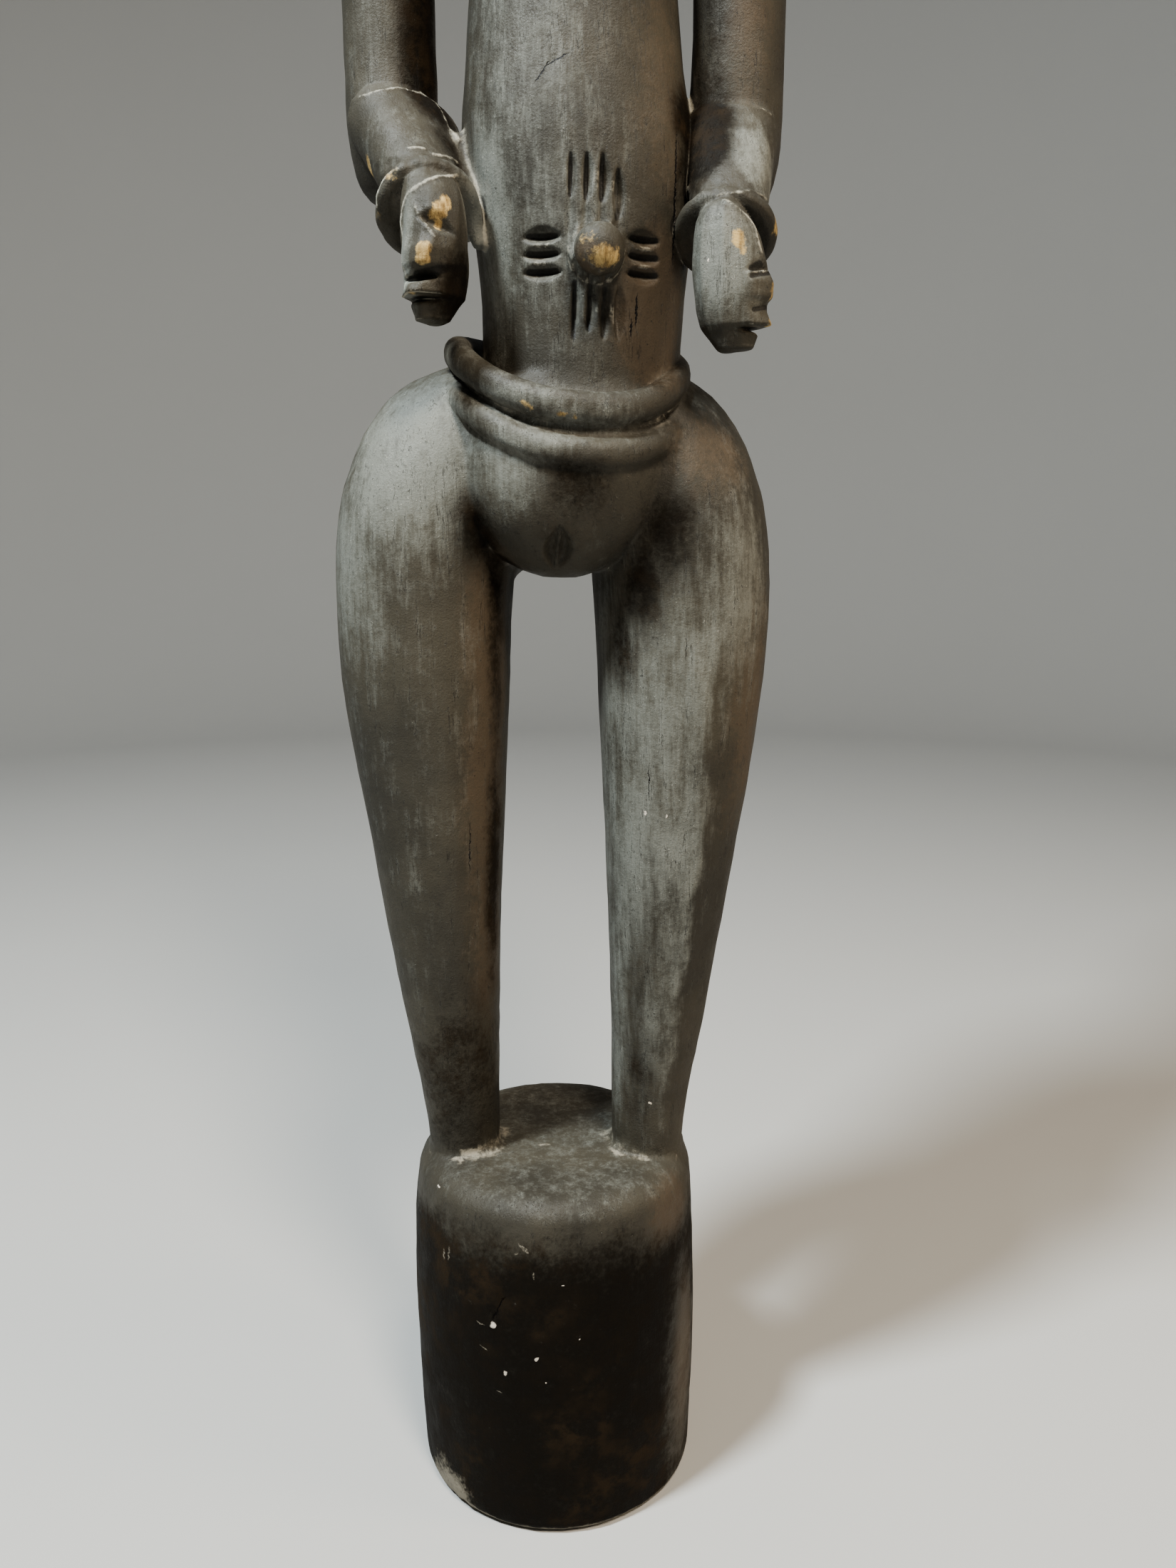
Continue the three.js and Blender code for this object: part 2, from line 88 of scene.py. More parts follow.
# Stations: height, x, y, half width, half depth of level cross-sections
LEG = [
    (150, 45.2, -5, 16.5, 16.8), (190, 45.9, -5, 18.2, 18.8), (245, 49.9, -5, 23, 24),
    (317, 54.2, -4, 29.7, 31.5), (386, 57.8, -1, 36.8, 38.5), (435, 58.6, 2, 39.7, 43),
    (475, 55.5, 4, 40.3, 44.5), (500, 49, 5, 39.6, 42), (517, 41.5, 5, 37.8, 36),
    (531, 32, 5, 33, 27), (541, 22, 5, 20, 14),
]
LEG_SHIFT = -0.8
PELVIS = [
    (CROTCH_HEIGHT, 3, -22, 8, 8), (453, 3.5, -17, 20, 20), (462, 4.5, -12, 33.5, 32),
    (478, 5.5, -9, 44, 41.5), (498, 6, -7, 48, 45), (516, 6.3, -5, 45, 43),
    (532, 6.3, -3, 40, 38),
]
TORSO = [
    (498, 8, 2, 46, 46), (530, 11.5, 1, 43.5, 44), (560, 13, 0, 43.5, 43.5),
    (590, 13, -1, 46.5, 45), (622, 11, -1, 48.6, 45), (655, 9.5, 0, 45.4, 42.5),
    (700, 9, 1, 41.5, 39.5), (740, 8, 2, 38, 37.5), (776, 7.5, 3, 42.5, 39.5),
    (812, 7, 4, 57, 38), (834, 6, 4, 72, 33), (852, 6, 5, 68, 27),
    (866, 7, 5, 44, 23), (878, 7, 5, 20, 19),
]
NECK = [(860, 7, 5, 24, 23), (880, 7, 5, 21.5, 21.5), (905, 7, 4, 20.5, 20.5), (935, 7, 3, 21.5, 23)]
HEAD = [
    (909, 7, -24, 8, 8), (914, 7, -20, 15, 18), (926, 7, -13, 23.5, 30),
    (945, 7, -6, 30, 40), (968, 7, -2, 33.5, 45), (990, 7, 0, 35, 46.5),
    (1010, 7, 2, 34, 45), (1030, 7, 4, 29, 39), (1045, 7, 5, 20, 28),
    (CROWN_HEIGHT, 7, 6, 6, 9),
]
ARM = [
    (599, 0, 0, 5, 5), (603, 0, 0, 11.5, 11.5), (612, 0, 0, 16.3, 16.3), (628, 0, 0, 19, 19),
    (660, 0, 0, 19.3, 19.3), (760, 0, 0, 19, 19.5), (815, 0, 0, 21.5, 22), (838, 5, 0, 21, 21.5),
    (851, 11, 0, 17, 17), (859, 17, 0, 9, 9),
]
# An arm is where it hangs and how much higher its elbow is. A fist's twist is in degrees per
# millimetre of height; a notch has the two ends of its floor, as outward, across and up, and the
# slopes of its two faces.
ARMS = [
    dict(arm=(-67.8, 4, 5), elbow=(-62.5, -1, 633), wrist=(-50, -36, 600), forearm=(24.5, 14.5),
         disc=(-49.3, -33, 594.5), fist=(-45.5, -45, 579), turn=268, twist=1.1,
         notches=[((12, -12, 10), (9, 10, 0.5), -0.4, 2),
                  ((8.7, -13, -15.2), (10.5, 13, -14), -0.35, 0.5)]),
    dict(arm=(78.2, 4, 0), elbow=(75, -1, 630), wrist=(72, -32, 591), forearm=(20.5, 14.5),
         disc=(71, -28, 586.5), fist=(71.5, -41, 569), turn=342, twist=0,
         notches=[((6.3, -15, -1.7), (19, 10, 1.4), 0.2, 2.5),
                  ((9.3, -15, -13.4), (18.9, 10, -13), -0.4, 0.45)]),
]
DISC_RADIUS = 20.6
DISC_THICKNESS = 8.0
# A fist from below: height, reach of the fingers, reach of the back, half thickness
FIST = [
    (-30, 3, 3, 3), (-29, 10.5, 4, 6), (-23.5, 12.4, 8.5, 8.5), (-21.4, 8, 10, 10),
    (-20.4, 18, 10.6, 11), (-14.8, 15.6, 12.2, 12), (-11.8, 15.6, 12.6, 12.5),
    (-9.5, 17.7, 12.9, 12.8), (-4.2, 18, 13.6, 13.2), (0.8, 15.5, 14.1, 13.4), (5, 14.6, 14.2, 13.4),
    (9.5, 13.4, 14, 13.2), (14.5, 11.5, 13.8, 12.8), (19, 9, 13.3, 12), (22.5, 6.8, 12, 10.9),
    (25, 4.5, 10, 9), (27, 2.8, 6.4, 6.4), (28, 1.5, 3, 3.5),
]
FIST_SECTION = [(1, 0.2), (0.62, 0.75), (0, 1), (-0.65, 0.9), (-1, 0.4)]
# Webs of wood and dust left between the wrists and the body: path and radius
WEBS = [
    (((-44, -24, 617), (-39, -22, 613), (-35, -23, 607)), 1.5),
    (((-37.5, -14, 626), (-36, -19, 612), (-33.5, -25, 602), (-31.5, -26, 593), (-30, -25, 584)), 2.6),
    (((56, -24, 605), (61, -28, 601), (66, -30, 597)), 0.7),
]
BELT_X = 6.3
BELT_HALF_WIDTH = 47.5
BELT_HALF_DEPTH = 49.0
BELT_SQUARE = 2.35
BELT_ROLL = 6.3
BELT_ROLL_HEIGHT = 7.0
BELT_GAP = 14.5
BELT_TURN = math.radians(15)
NAVEL_RADIUS = 9.8
NAVEL_REACH = 17.0
# The upright cuts over and under the navel: lower end, upper end and depth
CUTS_ABOVE = [(594, 614, 2.4), (593, 614, 3.2), (592.5, 613.5, 3.4), (586, 608.5, 3.4)]
CUTS_BELOW = [(542, 567.5, 3.0), (545, 566, 3.2), (542.5, 565, 3.4), (543, 566, 4.2)]
STEP_ABOVE = 6.2
STEP_BELOW = 6.0
STEP_BESIDE = 6.5


# A distance field on a fine grid: forms are joined and cut there, with soft corners.

CELL = 0.85
LOW = np.array([-103.0, -79.0, -5.0])
HIGH = np.array([103.0, 76.0, 1089.0])
AXES = [np.arange(LOW[i], HIGH[i] + CELL, CELL, dtype=np.float32) for i in range(3)]
MARGIN = 8.0
field = np.full([len(axis) for axis in AXES], MARGIN, np.float32)


def window(low, high):
    """The part of the grid round a box, as slices and as x, y and z that broadcast."""
    slices, spans = [], []
    for i in range(3):
        first = max(int((low[i] - MARGIN - LOW[i]) / CELL), 0)
        last = min(int((high[i] + MARGIN - LOW[i]) / CELL) + 2, len(AXES[i]))
        slices.append(slice(first, last))
        shape = [1, 1, 1]
        shape[i] = -1
        spans.append(AXES[i][first:last].reshape(shape))
    return tuple(slices), spans


def to_distance(values):
    """Rescales an implicit form so that it grows by about 1 for each millimetre."""
    slopes = np.gradient(values, CELL)
    steep = np.sqrt(slopes[0] ** 2 + slopes[1] ** 2 + slopes[2] ** 2)
    return values / np.maximum(steep, 0.35)


def soft_min(a, b, blend):
    overlap = np.maximum(blend - np.abs(a - b), 0) / blend
    return np.minimum(a, b) - overlap * overlap * (blend / 4)


def soft_max(a, b, blend):
    return -soft_min(-a, -b, blend)


def add(form, blend=3.0):
    slices, spans = window(form.low, form.high)
    near = to_distance(form.values(*spans))
    field[slices] = soft_min(field[slices], near, blend)


def remove(form, blend=1.0):
    slices, spans = window(form.low, form.high)
    near = to_distance(form.values(*spans))
    field[slices] = soft_max(field[slices], -near, blend)


class Form:
    """An implicit form, negative inside, and the box that holds it."""

    def __init__(self, values, low, high):
        self.values = values
        self.low = np.array(low, float)
        self.high = np.array(high, float)

    def meet(self, other, blend):
        """What two forms have in common."""
        def values(x, y, z):
            return soft_max(self.values(x, y, z), other.values(x, y, z), blend)
        return Form(values, np.maximum(self.low, other.low), np.minimum(self.high, other.high))

    def placed(self, origin, turn):
        """The form turned by a 3 by 3 matrix about its own origin and moved to a place."""
        origin, turn = np.array(origin, float), np.array(turn, float)

        def values(x, y, z):
            x, y, z = x - origin[0], y - origin[1], z - origin[2]
            local = [turn[0, i] * x + turn[1, i] * y + turn[2, i] * z for i in range(3)]
            return self.values(*local)
        corners = np.array([
            turn @ np.where(ends, self.high, self.low) + origin for ends in np.ndindex(2, 2, 2)
        ])
        return Form(values, corners.min(0), corners.max(0))

    def aimed(self, origin, direction):
        """The form built up +Z, pointed from a place in a direction."""
        turn = Vector((0, 0, 1)).rotation_difference(Vector(direction).normalized()).to_matrix()
        return self.placed(origin, turn)

    def spun(self, origin, degrees):
        c, s = math.cos(math.radians(degrees)), math.sin(math.radians(degrees))
        return self.placed(origin, [[c, -s, 0], [s, c, 0], [0, 0, 1]])


def read_stations(stations, height):
    """Centre and half sizes at any height, on smooth curves through the stations."""
    table = np.array(stations, np.float32)
    levels = table[:, 0]
    last = len(table) - 1
    before = np.maximum(np.arange(last + 1) - 1, 0)
    after = np.minimum(np.arange(last + 1) + 1, last)
    slopes = (table[after, 1:] - table[before, 1:]) / (levels[after] - levels[before])[:, None]
    i = np.clip(np.searchsorted(levels, height, side="right") - 1, 0, last - 1)
    span = levels[i + 1] - levels[i]
    t = np.clip((height - levels[i]) / span, 0, 1)
    columns = []
    for column in range(4):
        a, b = table[i, column + 1], table[i + 1, column + 1]
        m0, m1 = slopes[i, column] * span, slopes[i + 1, column] * span
        rise = b - a
        columns.append(a + t * (m0 + t * (3 * rise - 2 * m0 - m1 + t * (m0 + m1 - 2 * rise))))
    return columns


def column(stations, square=2.0, edge=1.5):
    """A column whose level cross-sections follow the stations; square above 2 fills its corners."""
    bottom, top = stations[0][0], stations[-1][0]

    def values(x, y, z):
        middle_x, middle_y, half_x, half_y = read_stations(stations, z)
        u, v = np.abs(x - middle_x) / half_x, np.abs(y - middle_y) / half_y
        reach = np.sqrt(u * u + v * v) if square == 2 else (u ** square + v ** square) ** (1 / square)
        return soft_max((reach - 1) * np.minimum(half_x, half_y), np.maximum(z - top, bottom - z), edge)
    table = np.array(stations, float)
    low = [(table[:, 1] - table[:, 3]).min(), (table[:, 2] - table[:, 4]).min(), bottom]
    high = [(table[:, 1] + table[:, 3]).max(), (table[:, 2] + table[:, 4]).max(), top]
    return Form(values, low, high)


def ellipsoid(middle, radii):
    def values(x, y, z):
        reach = ((x - middle[0]) / radii[0]) ** 2 + ((y - middle[1]) / radii[1]) ** 2
        return (np.sqrt(reach + ((z - middle[2]) / radii[2]) ** 2) - 1) * min(radii)
    middle, radii = np.array(middle, float), np.array(radii, float)
    return Form(values, middle - radii, middle + radii)


def gouge(start, end, width, depth):
    """A slim boat-shaped cutter from one place to another."""
    start, end = np.array(start, float), np.array(end, float)
    length = np.linalg.norm(end - start)
    return ellipsoid((0, 0, 0), (width / 2, depth, length / 2)).aimed((start + end) / 2, end - start)


def segment_gap(offsets, edge):
    """The squared distance from a segment that starts at 0, and the share along it."""
    along = np.clip(sum(p * e for p, e in zip(offsets, edge)) / (edge @ edge), 0, 1)
    return sum((p - along * e) ** 2 for p, e in zip(offsets, edge)), along


def prism(outline, half):
    """A flat slab of an outline in x and z, with a half thickness along y."""
    points = np.array(outline, float)

    def values(x, y, z):
        shape = np.broadcast_shapes(x.shape, z.shape)
        away = np.full(shape, 1e9, np.float32)
        inside = np.zeros(shape, bool)
        for a, b in zip(points, np.roll(points, -1, axis=0)):
            edge = b - a
            px, pz = x - a[0], z - a[1]
            away = np.minimum(away, segment_gap((px, pz), edge)[0])
            crosses = (a[1] > z) != (b[1] > z)
            inside ^= crosses & (px < edge[0] * pz / (edge[1] if edge[1] else 1e-9))
        flat = np.sqrt(away) * np.where(inside, -1, 1)
        return np.maximum(flat, np.abs(y) - half)
    low = [points[:, 0].min(), -half, points[:, 1].min()]
    high = [points[:, 0].max(), half, points[:, 1].max()]
    return Form(values, low, high)


def tube(path, radii):
    """A round bar along a path of points, with a radius at each."""
    points, radii = np.array(path, float), np.array(radii, float)

    def values(x, y, z):
        best = None
        for a, b, ra, rb in zip(points, points[1:], radii, radii[1:]):
            squared, along = segment_gap((x - a[0], y - a[1], z - a[2]), b - a)
            gap = np.sqrt(squared) - (ra + along * (rb - ra))
            best = gap if best is None else np.minimum(best, gap)
        return best
    return Form(values, points.min(0) - radii.max(), points.max(0) + radii.max())


# The forms of the figure

def carve_base():
    stations = [
        (0, BASE_SHIFT + 1, 0, BASE_FOOT_RADIUS, BASE_FOOT_RADIUS),
        (6, BASE_SHIFT + 1, 0, BASE_FOOT_RADIUS + 1.5, BASE_FOOT_RADIUS + 1.5),
        (90, BASE_SHIFT, 0, BASE_RADIUS, BASE_RADIUS),
        (140, BASE_SHIFT - 0.4, 0, BASE_RADIUS - 1.5, BASE_RADIUS - 1.5),
    ]
    shoulder = BASE_RADIUS - 3
    for angle in (0, 30, 60, 80):
        turn = math.radians(angle)
        radius = shoulder - BASE_RIM_ROUND * (1 - math.cos(turn))
        height = BASE_HEIGHT - BASE_RIM_ROUND * (1 - math.sin(turn))
        stations.append((height, BASE_SHIFT, 0, radius, radius))
    stations.append((BASE_HEIGHT, BASE_SHIFT, 0, shoulder - BASE_RIM_ROUND, shoulder - BASE_RIM_ROUND))
    add(column(stations, edge=5.0), 1.0)


def carve_foot_ledges():
    """Low swellings where the feet's outer sides run out into the rim, and a nail."""
    add(ellipsoid((55.0, 0, 169), (7, 12, 6)), 4.0)
    add(ellipsoid((-56.0, 1, 168), (7, 10, 6)), 4.0)
    add(ellipsoid((-28.6, -64.9, 111.5), (1.8, 1.7, 1.6)), 0.6)


def carve_legs():
    for side in (-1, 1):
        stations = [(z, LEG_SHIFT + side * spread, *rest) for z, spread, *rest in LEG]
        add(column(stations, 2.15), 4.0)


def carve_pelvis():
    add(column(PELVIS, 2.5), 2.0)
    for side in (-1, 1):
        add(ellipsoid((2 + side * 29, 21, 490), (35, 44, 42)), 6.0)


def laid_along(start, end, outward):
    """The middle of a line, half its length, and its axes: across, along and outward."""
    start, end, outward = (np.array(v, float) for v in (start, end, outward))
    middle, along = (start + end) / 2, (end - start) / 2
    half = np.linalg.norm(along)
    along /= half
    outward -= (outward @ along) * along
    outward /= np.linalg.norm(outward)
    return middle, half, np.stack([np.cross(along, outward), along, outward], axis=1)


def carve_slit():
    """An almond cut in outline, with a thin raised sliver down its middle."""
    middle, half, turn = laid_along((1.6, -36.3, 453.3), (3.5, -47.3, 469.5), (0, -0.86, -0.5))
    half += 1.5
    middle = middle + turn[:, 2] * 0.4

    def values(x, y, z):
        taper = 1 - (y / half) ** 2
        return 1.1 * np.abs(np.abs(x) - 2.7 * taper) - 3.0 * taper - z
    remove(Form(values, (-7, -half, -4), (7, half, 1)).placed(middle, turn), 0.4)


def belt_rise(angle):
    ahead = np.cos(angle - BELT_TURN)
    return -15.5 * ahead - 9.5 * ahead * ahead


def belt_ring(middle, spread, dip, filled=False):
    """A roll round the hips, or with filled the disc inside it."""
    half_x, half_y = BELT_HALF_WIDTH + spread, BELT_HALF_DEPTH + spread

    def values(x, y, z):
        u, v = (x - BELT_X) / half_x, -y / half_y
        reach = (np.abs(u) ** BELT_SQUARE + np.abs(v) ** BELT_SQUARE) ** (1 / BELT_SQUARE)
        safe = np.maximum(reach, 1e-3)
        sine = np.sign(u) * np.abs(u / safe) ** (BELT_SQUARE / 2)
        cosine = np.sign(v) * np.abs(v / safe) ** (BELT_SQUARE / 2)
        angle = np.arctan2(sine, cosine)
        outward = (reach - 1) * (half_x + half_y) / 2
        upward = z - middle - dip * belt_rise(angle)
        if filled:
            outward = np.maximum(outward, 0)
        shape = (np.abs(outward) / BELT_ROLL) ** 2.2 + (np.abs(upward) / BELT_ROLL_HEIGHT) ** 2.2
        return (shape ** (1 / 2.2) - 1) * BELT_ROLL
    low = [BELT_X - half_x - BELT_ROLL, -half_y - BELT_ROLL, middle - 38]
    high = [BELT_X + half_x + BELT_ROLL, half_y + BELT_ROLL, middle + 24]
    return Form(values, low, high)


def carve_belt():
    add(belt_ring(BELT_HEIGHT - BELT_GAP / 2 - 2.5, -5, 1.06, filled=True), 1.0)
    add(belt_ring(BELT_HEIGHT, 0, 1.0), 0.6)
    add(belt_ring(BELT_HEIGHT - BELT_GAP, 0.8, 1.13), 0.6)


def torso_front(x, height):
    """A place on the front of the torso, and the direction that it faces."""
    middle, y, half_x, half_y = [float(v) for v in read_stations(TORSO, np.float32(height))]
    front = y - half_y * math.sqrt(1 - ((x - middle) / half_x) ** 2)
    return (x, front, height), ((x - middle) / half_x ** 2, (front - y) / half_y ** 2, 0.0)


def vee(start, end, outward, depth, before, after):
    """A cut with two flat walls, each with its slope, that runs out at both ends."""
    middle, half, turn = laid_along(start, end, outward)

    def values(x, y, z):
        return np.maximum(-before * x, after * x) - depth * (1 - (y / half) ** 2) - z
    wide = depth / min(before, after)
    return Form(values, (-wide, -half, -depth), (wide, half, 1)).placed(middle, turn)


def torso_cut(x0, z0, x1, z1, depth, before, after):
    _, outward = torso_front((x0 + x1) / 2, (z0 + z1) / 2)
    remove(vee(torso_front(x0, z0)[0], torso_front(x1, z1)[0], outward, depth, before, after), 0.4)


def carve_navel_cuts():
    """Four cuts up and four down with steep left walls, and three to each side."""
    for i, (low, high, deep) in enumerate(CUTS_ABOVE):
        x = 8.2 + STEP_ABOVE * i
        torso_cut(x, low, x + 0.3, high, deep, 2.0, 1.0)
        torso_cut(x - 0.6, 582, x, low + 5, 0.9, 0.6, 0.5)
    for i, (low, high, deep) in enumerate(CUTS_BELOW):
        x = 9.3 + STEP_BELOW * i
        torso_cut(x, low, x + 0.6, high, deep, 1.7, 0.95)
    for i in range(3):
        z = 582.6 - STEP_BESIDE * i
        torso_cut(-11.6, z + 0.2, 5.5, z, 3.2, 1.15, 1.05)
        torso_cut(30.2, z, 44.8, z - 0.4, 3.2, 1.15, 1.05)


def carve_torso():
    add(column(TORSO), 2.0)
    root, _ = torso_front(TORSO[2][1] + 5.6, NAVEL_HEIGHT)
    out = (math.sin(TURN), -math.cos(TURN), -0.08)
    add(ellipsoid((0, 0, 1), (11.4, 11.4, 5)).aimed(root, out), 3.0)
    carve_navel_cuts()
    remove(gouge((13, 45.0, 560), (9, 41.5, 790), 14, 2.2), 6.0)
    half = NAVEL_REACH / 2
    add(ellipsoid((0, 0, half), (NAVEL_RADIUS, NAVEL_RADIUS, half + 1)).aimed(root, out), 1.5)


def carve_chest():
    profile = [(0, 24), (20, 25), (36, 23), (50, 17.5), (60, 11.5), (66, 7.5), (70, 6.5), (73, 4)]
    stations = [(z, 0, 0, r, r) for z, r in profile]
    for side in (-1, 1):
        add(column(stations, edge=4.0).aimed((BODY_X + side * 23, -4, 792), (side * 0.16, -1, -0.3)), 5.0)


def notch(start, end, low, high):
    """A wedge that opens outwards (+x) from its floor, between two slopes."""
    start, end = np.array(start, float), np.array(end, float)
    along = end - start

    def values(x, y, z):
        faces = []
        for slope, side in ((low, -1), (high, 1)):
            normal = np.cross(along, (1, 0, slope))
            normal *= side * math.copysign(1, normal[2]) / np.linalg.norm(normal)
            faces.append(sum(n * (p - a) for n, p, a in zip(normal, (x, y, z), start)))
        return np.maximum(*faces)
    return Form(values, np.minimum(start, end) - 20, np.maximum(start, end) + 20)


def fist_form(side):
    """Rings from the lowest finger to the wrist, notched between the fingers and twisted."""
    heights, front, back, half = np.array(FIST, np.float32).T
    loop = FIST_SECTION + [(out, -across) for out, across in reversed(FIST_SECTION)]
    cutters = [notch(*cut) for cut in side["notches"]]

    def values(x, y, z):
        turn = np.radians(side["twist"]) * z
        x, y = x * np.cos(turn) + y * np.sin(turn), y * np.cos(turn) - x * np.sin(turn)
        reach = np.where(x > 0, np.interp(z, heights, front), np.interp(z, heights, back))
        wide = np.interp(z, heights, half)
        whole = np.maximum(z - heights[-1], heights[0] - z)
        for (out_a, across_a), (out_b, across_b) in zip(loop, loop[1:] + loop[:1]):
            nx, ny = across_b - across_a, out_a - out_b
            gap = nx * x / reach + ny * y / wide - (nx * out_a + ny * across_a)
            whole = soft_max(whole, gap / np.hypot(nx / reach, ny / wide), 0.7)
        for cutter in cutters:
            whole = soft_max(whole, -cutter.values(x, y, z), 0.5)
        return whole
    return Form(values, (-20, -20, -31), (20, 20, 29)).spun(side["fist"], side["turn"])


def carve_arms():
    for side in ARMS:
        arm_x, arm_y, rise = side["arm"]
        sign = math.copysign(1, arm_x)
        add(column([
            (z + (rise if z < 650 else 0), arm_x - sign * lean, arm_y, rx, ry) for z, lean, _, rx, ry in ARM
        ]), 5.0)
        elbow, wrist = np.array(side["elbow"], float), np.array(side["wrist"], float)
        length = np.linalg.norm(wrist - elbow)
        wide, narrow = side["forearm"]
        stations = [
            (-8, 0, 0, wide * 0.8, 13.0), (0, 0, 0, wide, 17.0),
            (length / 2, 0, 0, (wide + narrow) / 2, 15.5), (length, 0, 0, narrow, 13.0),
        ]
        add(column(stations, 2.3, edge=1.0).aimed(elbow, wrist - elbow), 1.5)
        half = DISC_THICKNESS / 2
        rim = DISC_RADIUS
        disc = [(-half, 0, 0, rim - 2.5, rim - 2.5), (-half + 2, 0, 0, rim, rim),
                (half - 2, 0, 0, rim, rim), (half, 0, 0, rim - 2.5, rim - 2.5)]
        add(column(disc, edge=0.8).aimed(side["disc"], wrist - elbow), 0.8)
        add(fist_form(side), 0.8)
    for path, radius in WEBS:
        add(tube(path, [radius] * len(path)), 2 * radius)


def carve_head():
    add(column(NECK), 5.0)
    add(column(HEAD, 2.15, edge=6.0), 6.0)
    eye, face_y = 13.6, -44.0
    nose_foot, mouth = 955.0, 938.0
    for side in (-1, 1):
        remove(ellipsoid((BODY_X + side * eye * 1.25, face_y - 7, EYE_HEIGHT - 8), (13, 12, 19)), 5.0)
    add(column([
        (nose_foot, BODY_X, face_y - 3, 6.8, 9.0), (nose_foot + 4, BODY_X, face_y - 2, 6.6, 9.4),
        (EYE_HEIGHT, BODY_X, face_y + 1, 3.6, 6.0), (EYE_HEIGHT + 18, BODY_X, face_y + 6, 4.5, 4.5),
    ], edge=4.0), 3.0)
    for side in (-1, 1):
        add(ellipsoid((BODY_X + side * eye, face_y + 7, EYE_HEIGHT), (9.0, 6.4, 5.0)), 1.0)
        inner = (BODY_X + side * (eye - 8), face_y + 2.4, EYE_HEIGHT - 0.8)
        outer = (BODY_X + side * (eye + 8), face_y + 4.4, EYE_HEIGHT - 0.8)
        remove(gouge(inner, outer, 2.0, 2.4), 0.5)
        add(ellipsoid((BODY_X + side * 6.2, face_y - 3, nose_foot + 4), (3.4, 5.5, 4)), 2.0)
    for side in (-1, 1):
        brow = [(4.0, -46.2, 994), (12, -44.0, 998.5), (19, -39.4, 998), (25.5, -32.4, 992)]
        add(tube([(BODY_X + side * x, y, z) for x, y, z in brow], [1.5, 2.0, 1.8, 0.9]), 1.5)
    add(ellipsoid((BODY_X, face_y + 8, mouth + 2.4), (10.5, 12.0, 3.6)), 1.5)
    add(ellipsoid((BODY_X, face_y + 8, mouth - 2.6), (9.0, 11.8, 3.4)), 1.5)
    remove(gouge((BODY_X - 11, face_y - 1.5, mouth), (BODY_X + 11, face_y - 1.5, mouth), 1.4, 2.6), 0.5)
    for side in (-1, 1):
        add(ellipsoid((BODY_X + side * 34, 4, 976), (5.5, 9, 20)), 2.0)
        remove(ellipsoid((BODY_X + side * 40, 1, 977), (4, 5, 13)), 1.5)
        add(tube([(BODY_X + side * 37, -2, 968), (BODY_X + side * 37, 1, 981)], [1.6, 1.2]), 1.0)


def bezier(a, b, c, d, count):
    points = []
    for i in range(1, count + 1):
        t = i / count
        weights = ((1 - t) ** 3, 3 * t * (1 - t) ** 2, 3 * t * t * (1 - t), t ** 3)
        points.append(tuple(sum(w * p[k] for w, p in zip(weights, (a, b, c, d))) for k in (0, 1)))
    return points


def past_hairline(y, z):
    return (y - HAIRLINE[0]) * math.cos(HAIRLINE_SLOPE) + (z - HAIRLINE[1]) * math.sin(HAIRLINE_SLOPE)


def carve_hair():
    """A thin cap of hair behind the hairline, with a crest over its middle."""
    grow = HAIR_THICKNESS
    scalp = [(z + (grow if z == CROWN_HEIGHT else 0), x, y, rx + grow, ry + grow)
             for z, x, y, rx, ry in HEAD if z > 940]
    cap = column(scalp, 2.15, edge=4.0)

    def behind(x, y, z):
        return 0 * x - past_hairline(y, z)
    add(cap.meet(Form(behind, cap.low, cap.high), 0.8), 0.6)
    arc = [(-36, 1018)]
    arc += bezier((-36, 1018), (-34, 1060), (-22, CREST_HEIGHT), (4, CREST_HEIGHT), 8)
    arc += bezier((4, CREST_HEIGHT), (40, CREST_HEIGHT), (60, 1040), (50, 985), 10)
    arc += [(43, 962), (30, 980), (-18, 1014)]
    crest = prism(arc, CREST_THICKNESS / 2).placed((BODY_X, 0, 0), [[0, -1, 0], [1, 0, 0], [0, 0, 1]])
    add(crest, 2.0)


carve_base()
carve_legs()
carve_foot_ledges()
carve_pelvis()
carve_torso()
carve_belt()
carve_slit()
carve_chest()
carve_arms()
carve_head()
carve_hair()


# Reading the field and noise at scattered points

def ramp(value, low, high):
    """Goes from 0 at low to 1 at high, which may be the smaller of the two."""
    return np.clip((value - low) / (high - low), 0, 1)


def blended(grid, first, t):
    """The grid's values between its cells, at a share t past each first cell."""
    total = np.zeros(len(t), np.float32)
    for dx, dy, dz in np.ndindex(2, 2, 2):
        weight = (t[:, 0] if dx else 1 - t[:, 0]) * (t[:, 1] if dy else 1 - t[:, 1])
        weight = weight * (t[:, 2] if dz else 1 - t[:, 2])
        total += weight * grid[first[:, 0] + dx, first[:, 1] + dy, first[:, 2] + dz]
    return total


def sample(grid, points):
    """Reads a grid at points in millimetres."""
    place = (points - LOW) / CELL
    first = np.clip(np.floor(place).astype(np.int32), 0, np.array(grid.shape) - 2)
    return blended(grid, first, np.clip(place - first, 0, 1).astype(np.float32))


def noise(points, scale, seed):
    """Smooth random values from -1 to 1; scale is the size of its lumps, one number or three."""
    place = points / np.array(scale, float)
    place = place - place.min(0)
    first = np.floor(place).astype(np.int32)
    t = (place - first).astype(np.float32)
    t = t * t * (3 - 2 * t)
    lattice = np.random.default_rng(SEED + seed).uniform(-1, 1, first.max(0) + 2).astype(np.float32)
    return blended(lattice, first, t)


def field_slope(points, step=0.8):
    slope = np.empty((len(points), 3), np.float32)
    for i in range(3):
        shift = np.zeros(3)
        shift[i] = step
        slope[:, i] = sample(field, points + shift) - sample(field, points - shift)
    return slope / (2 * step)


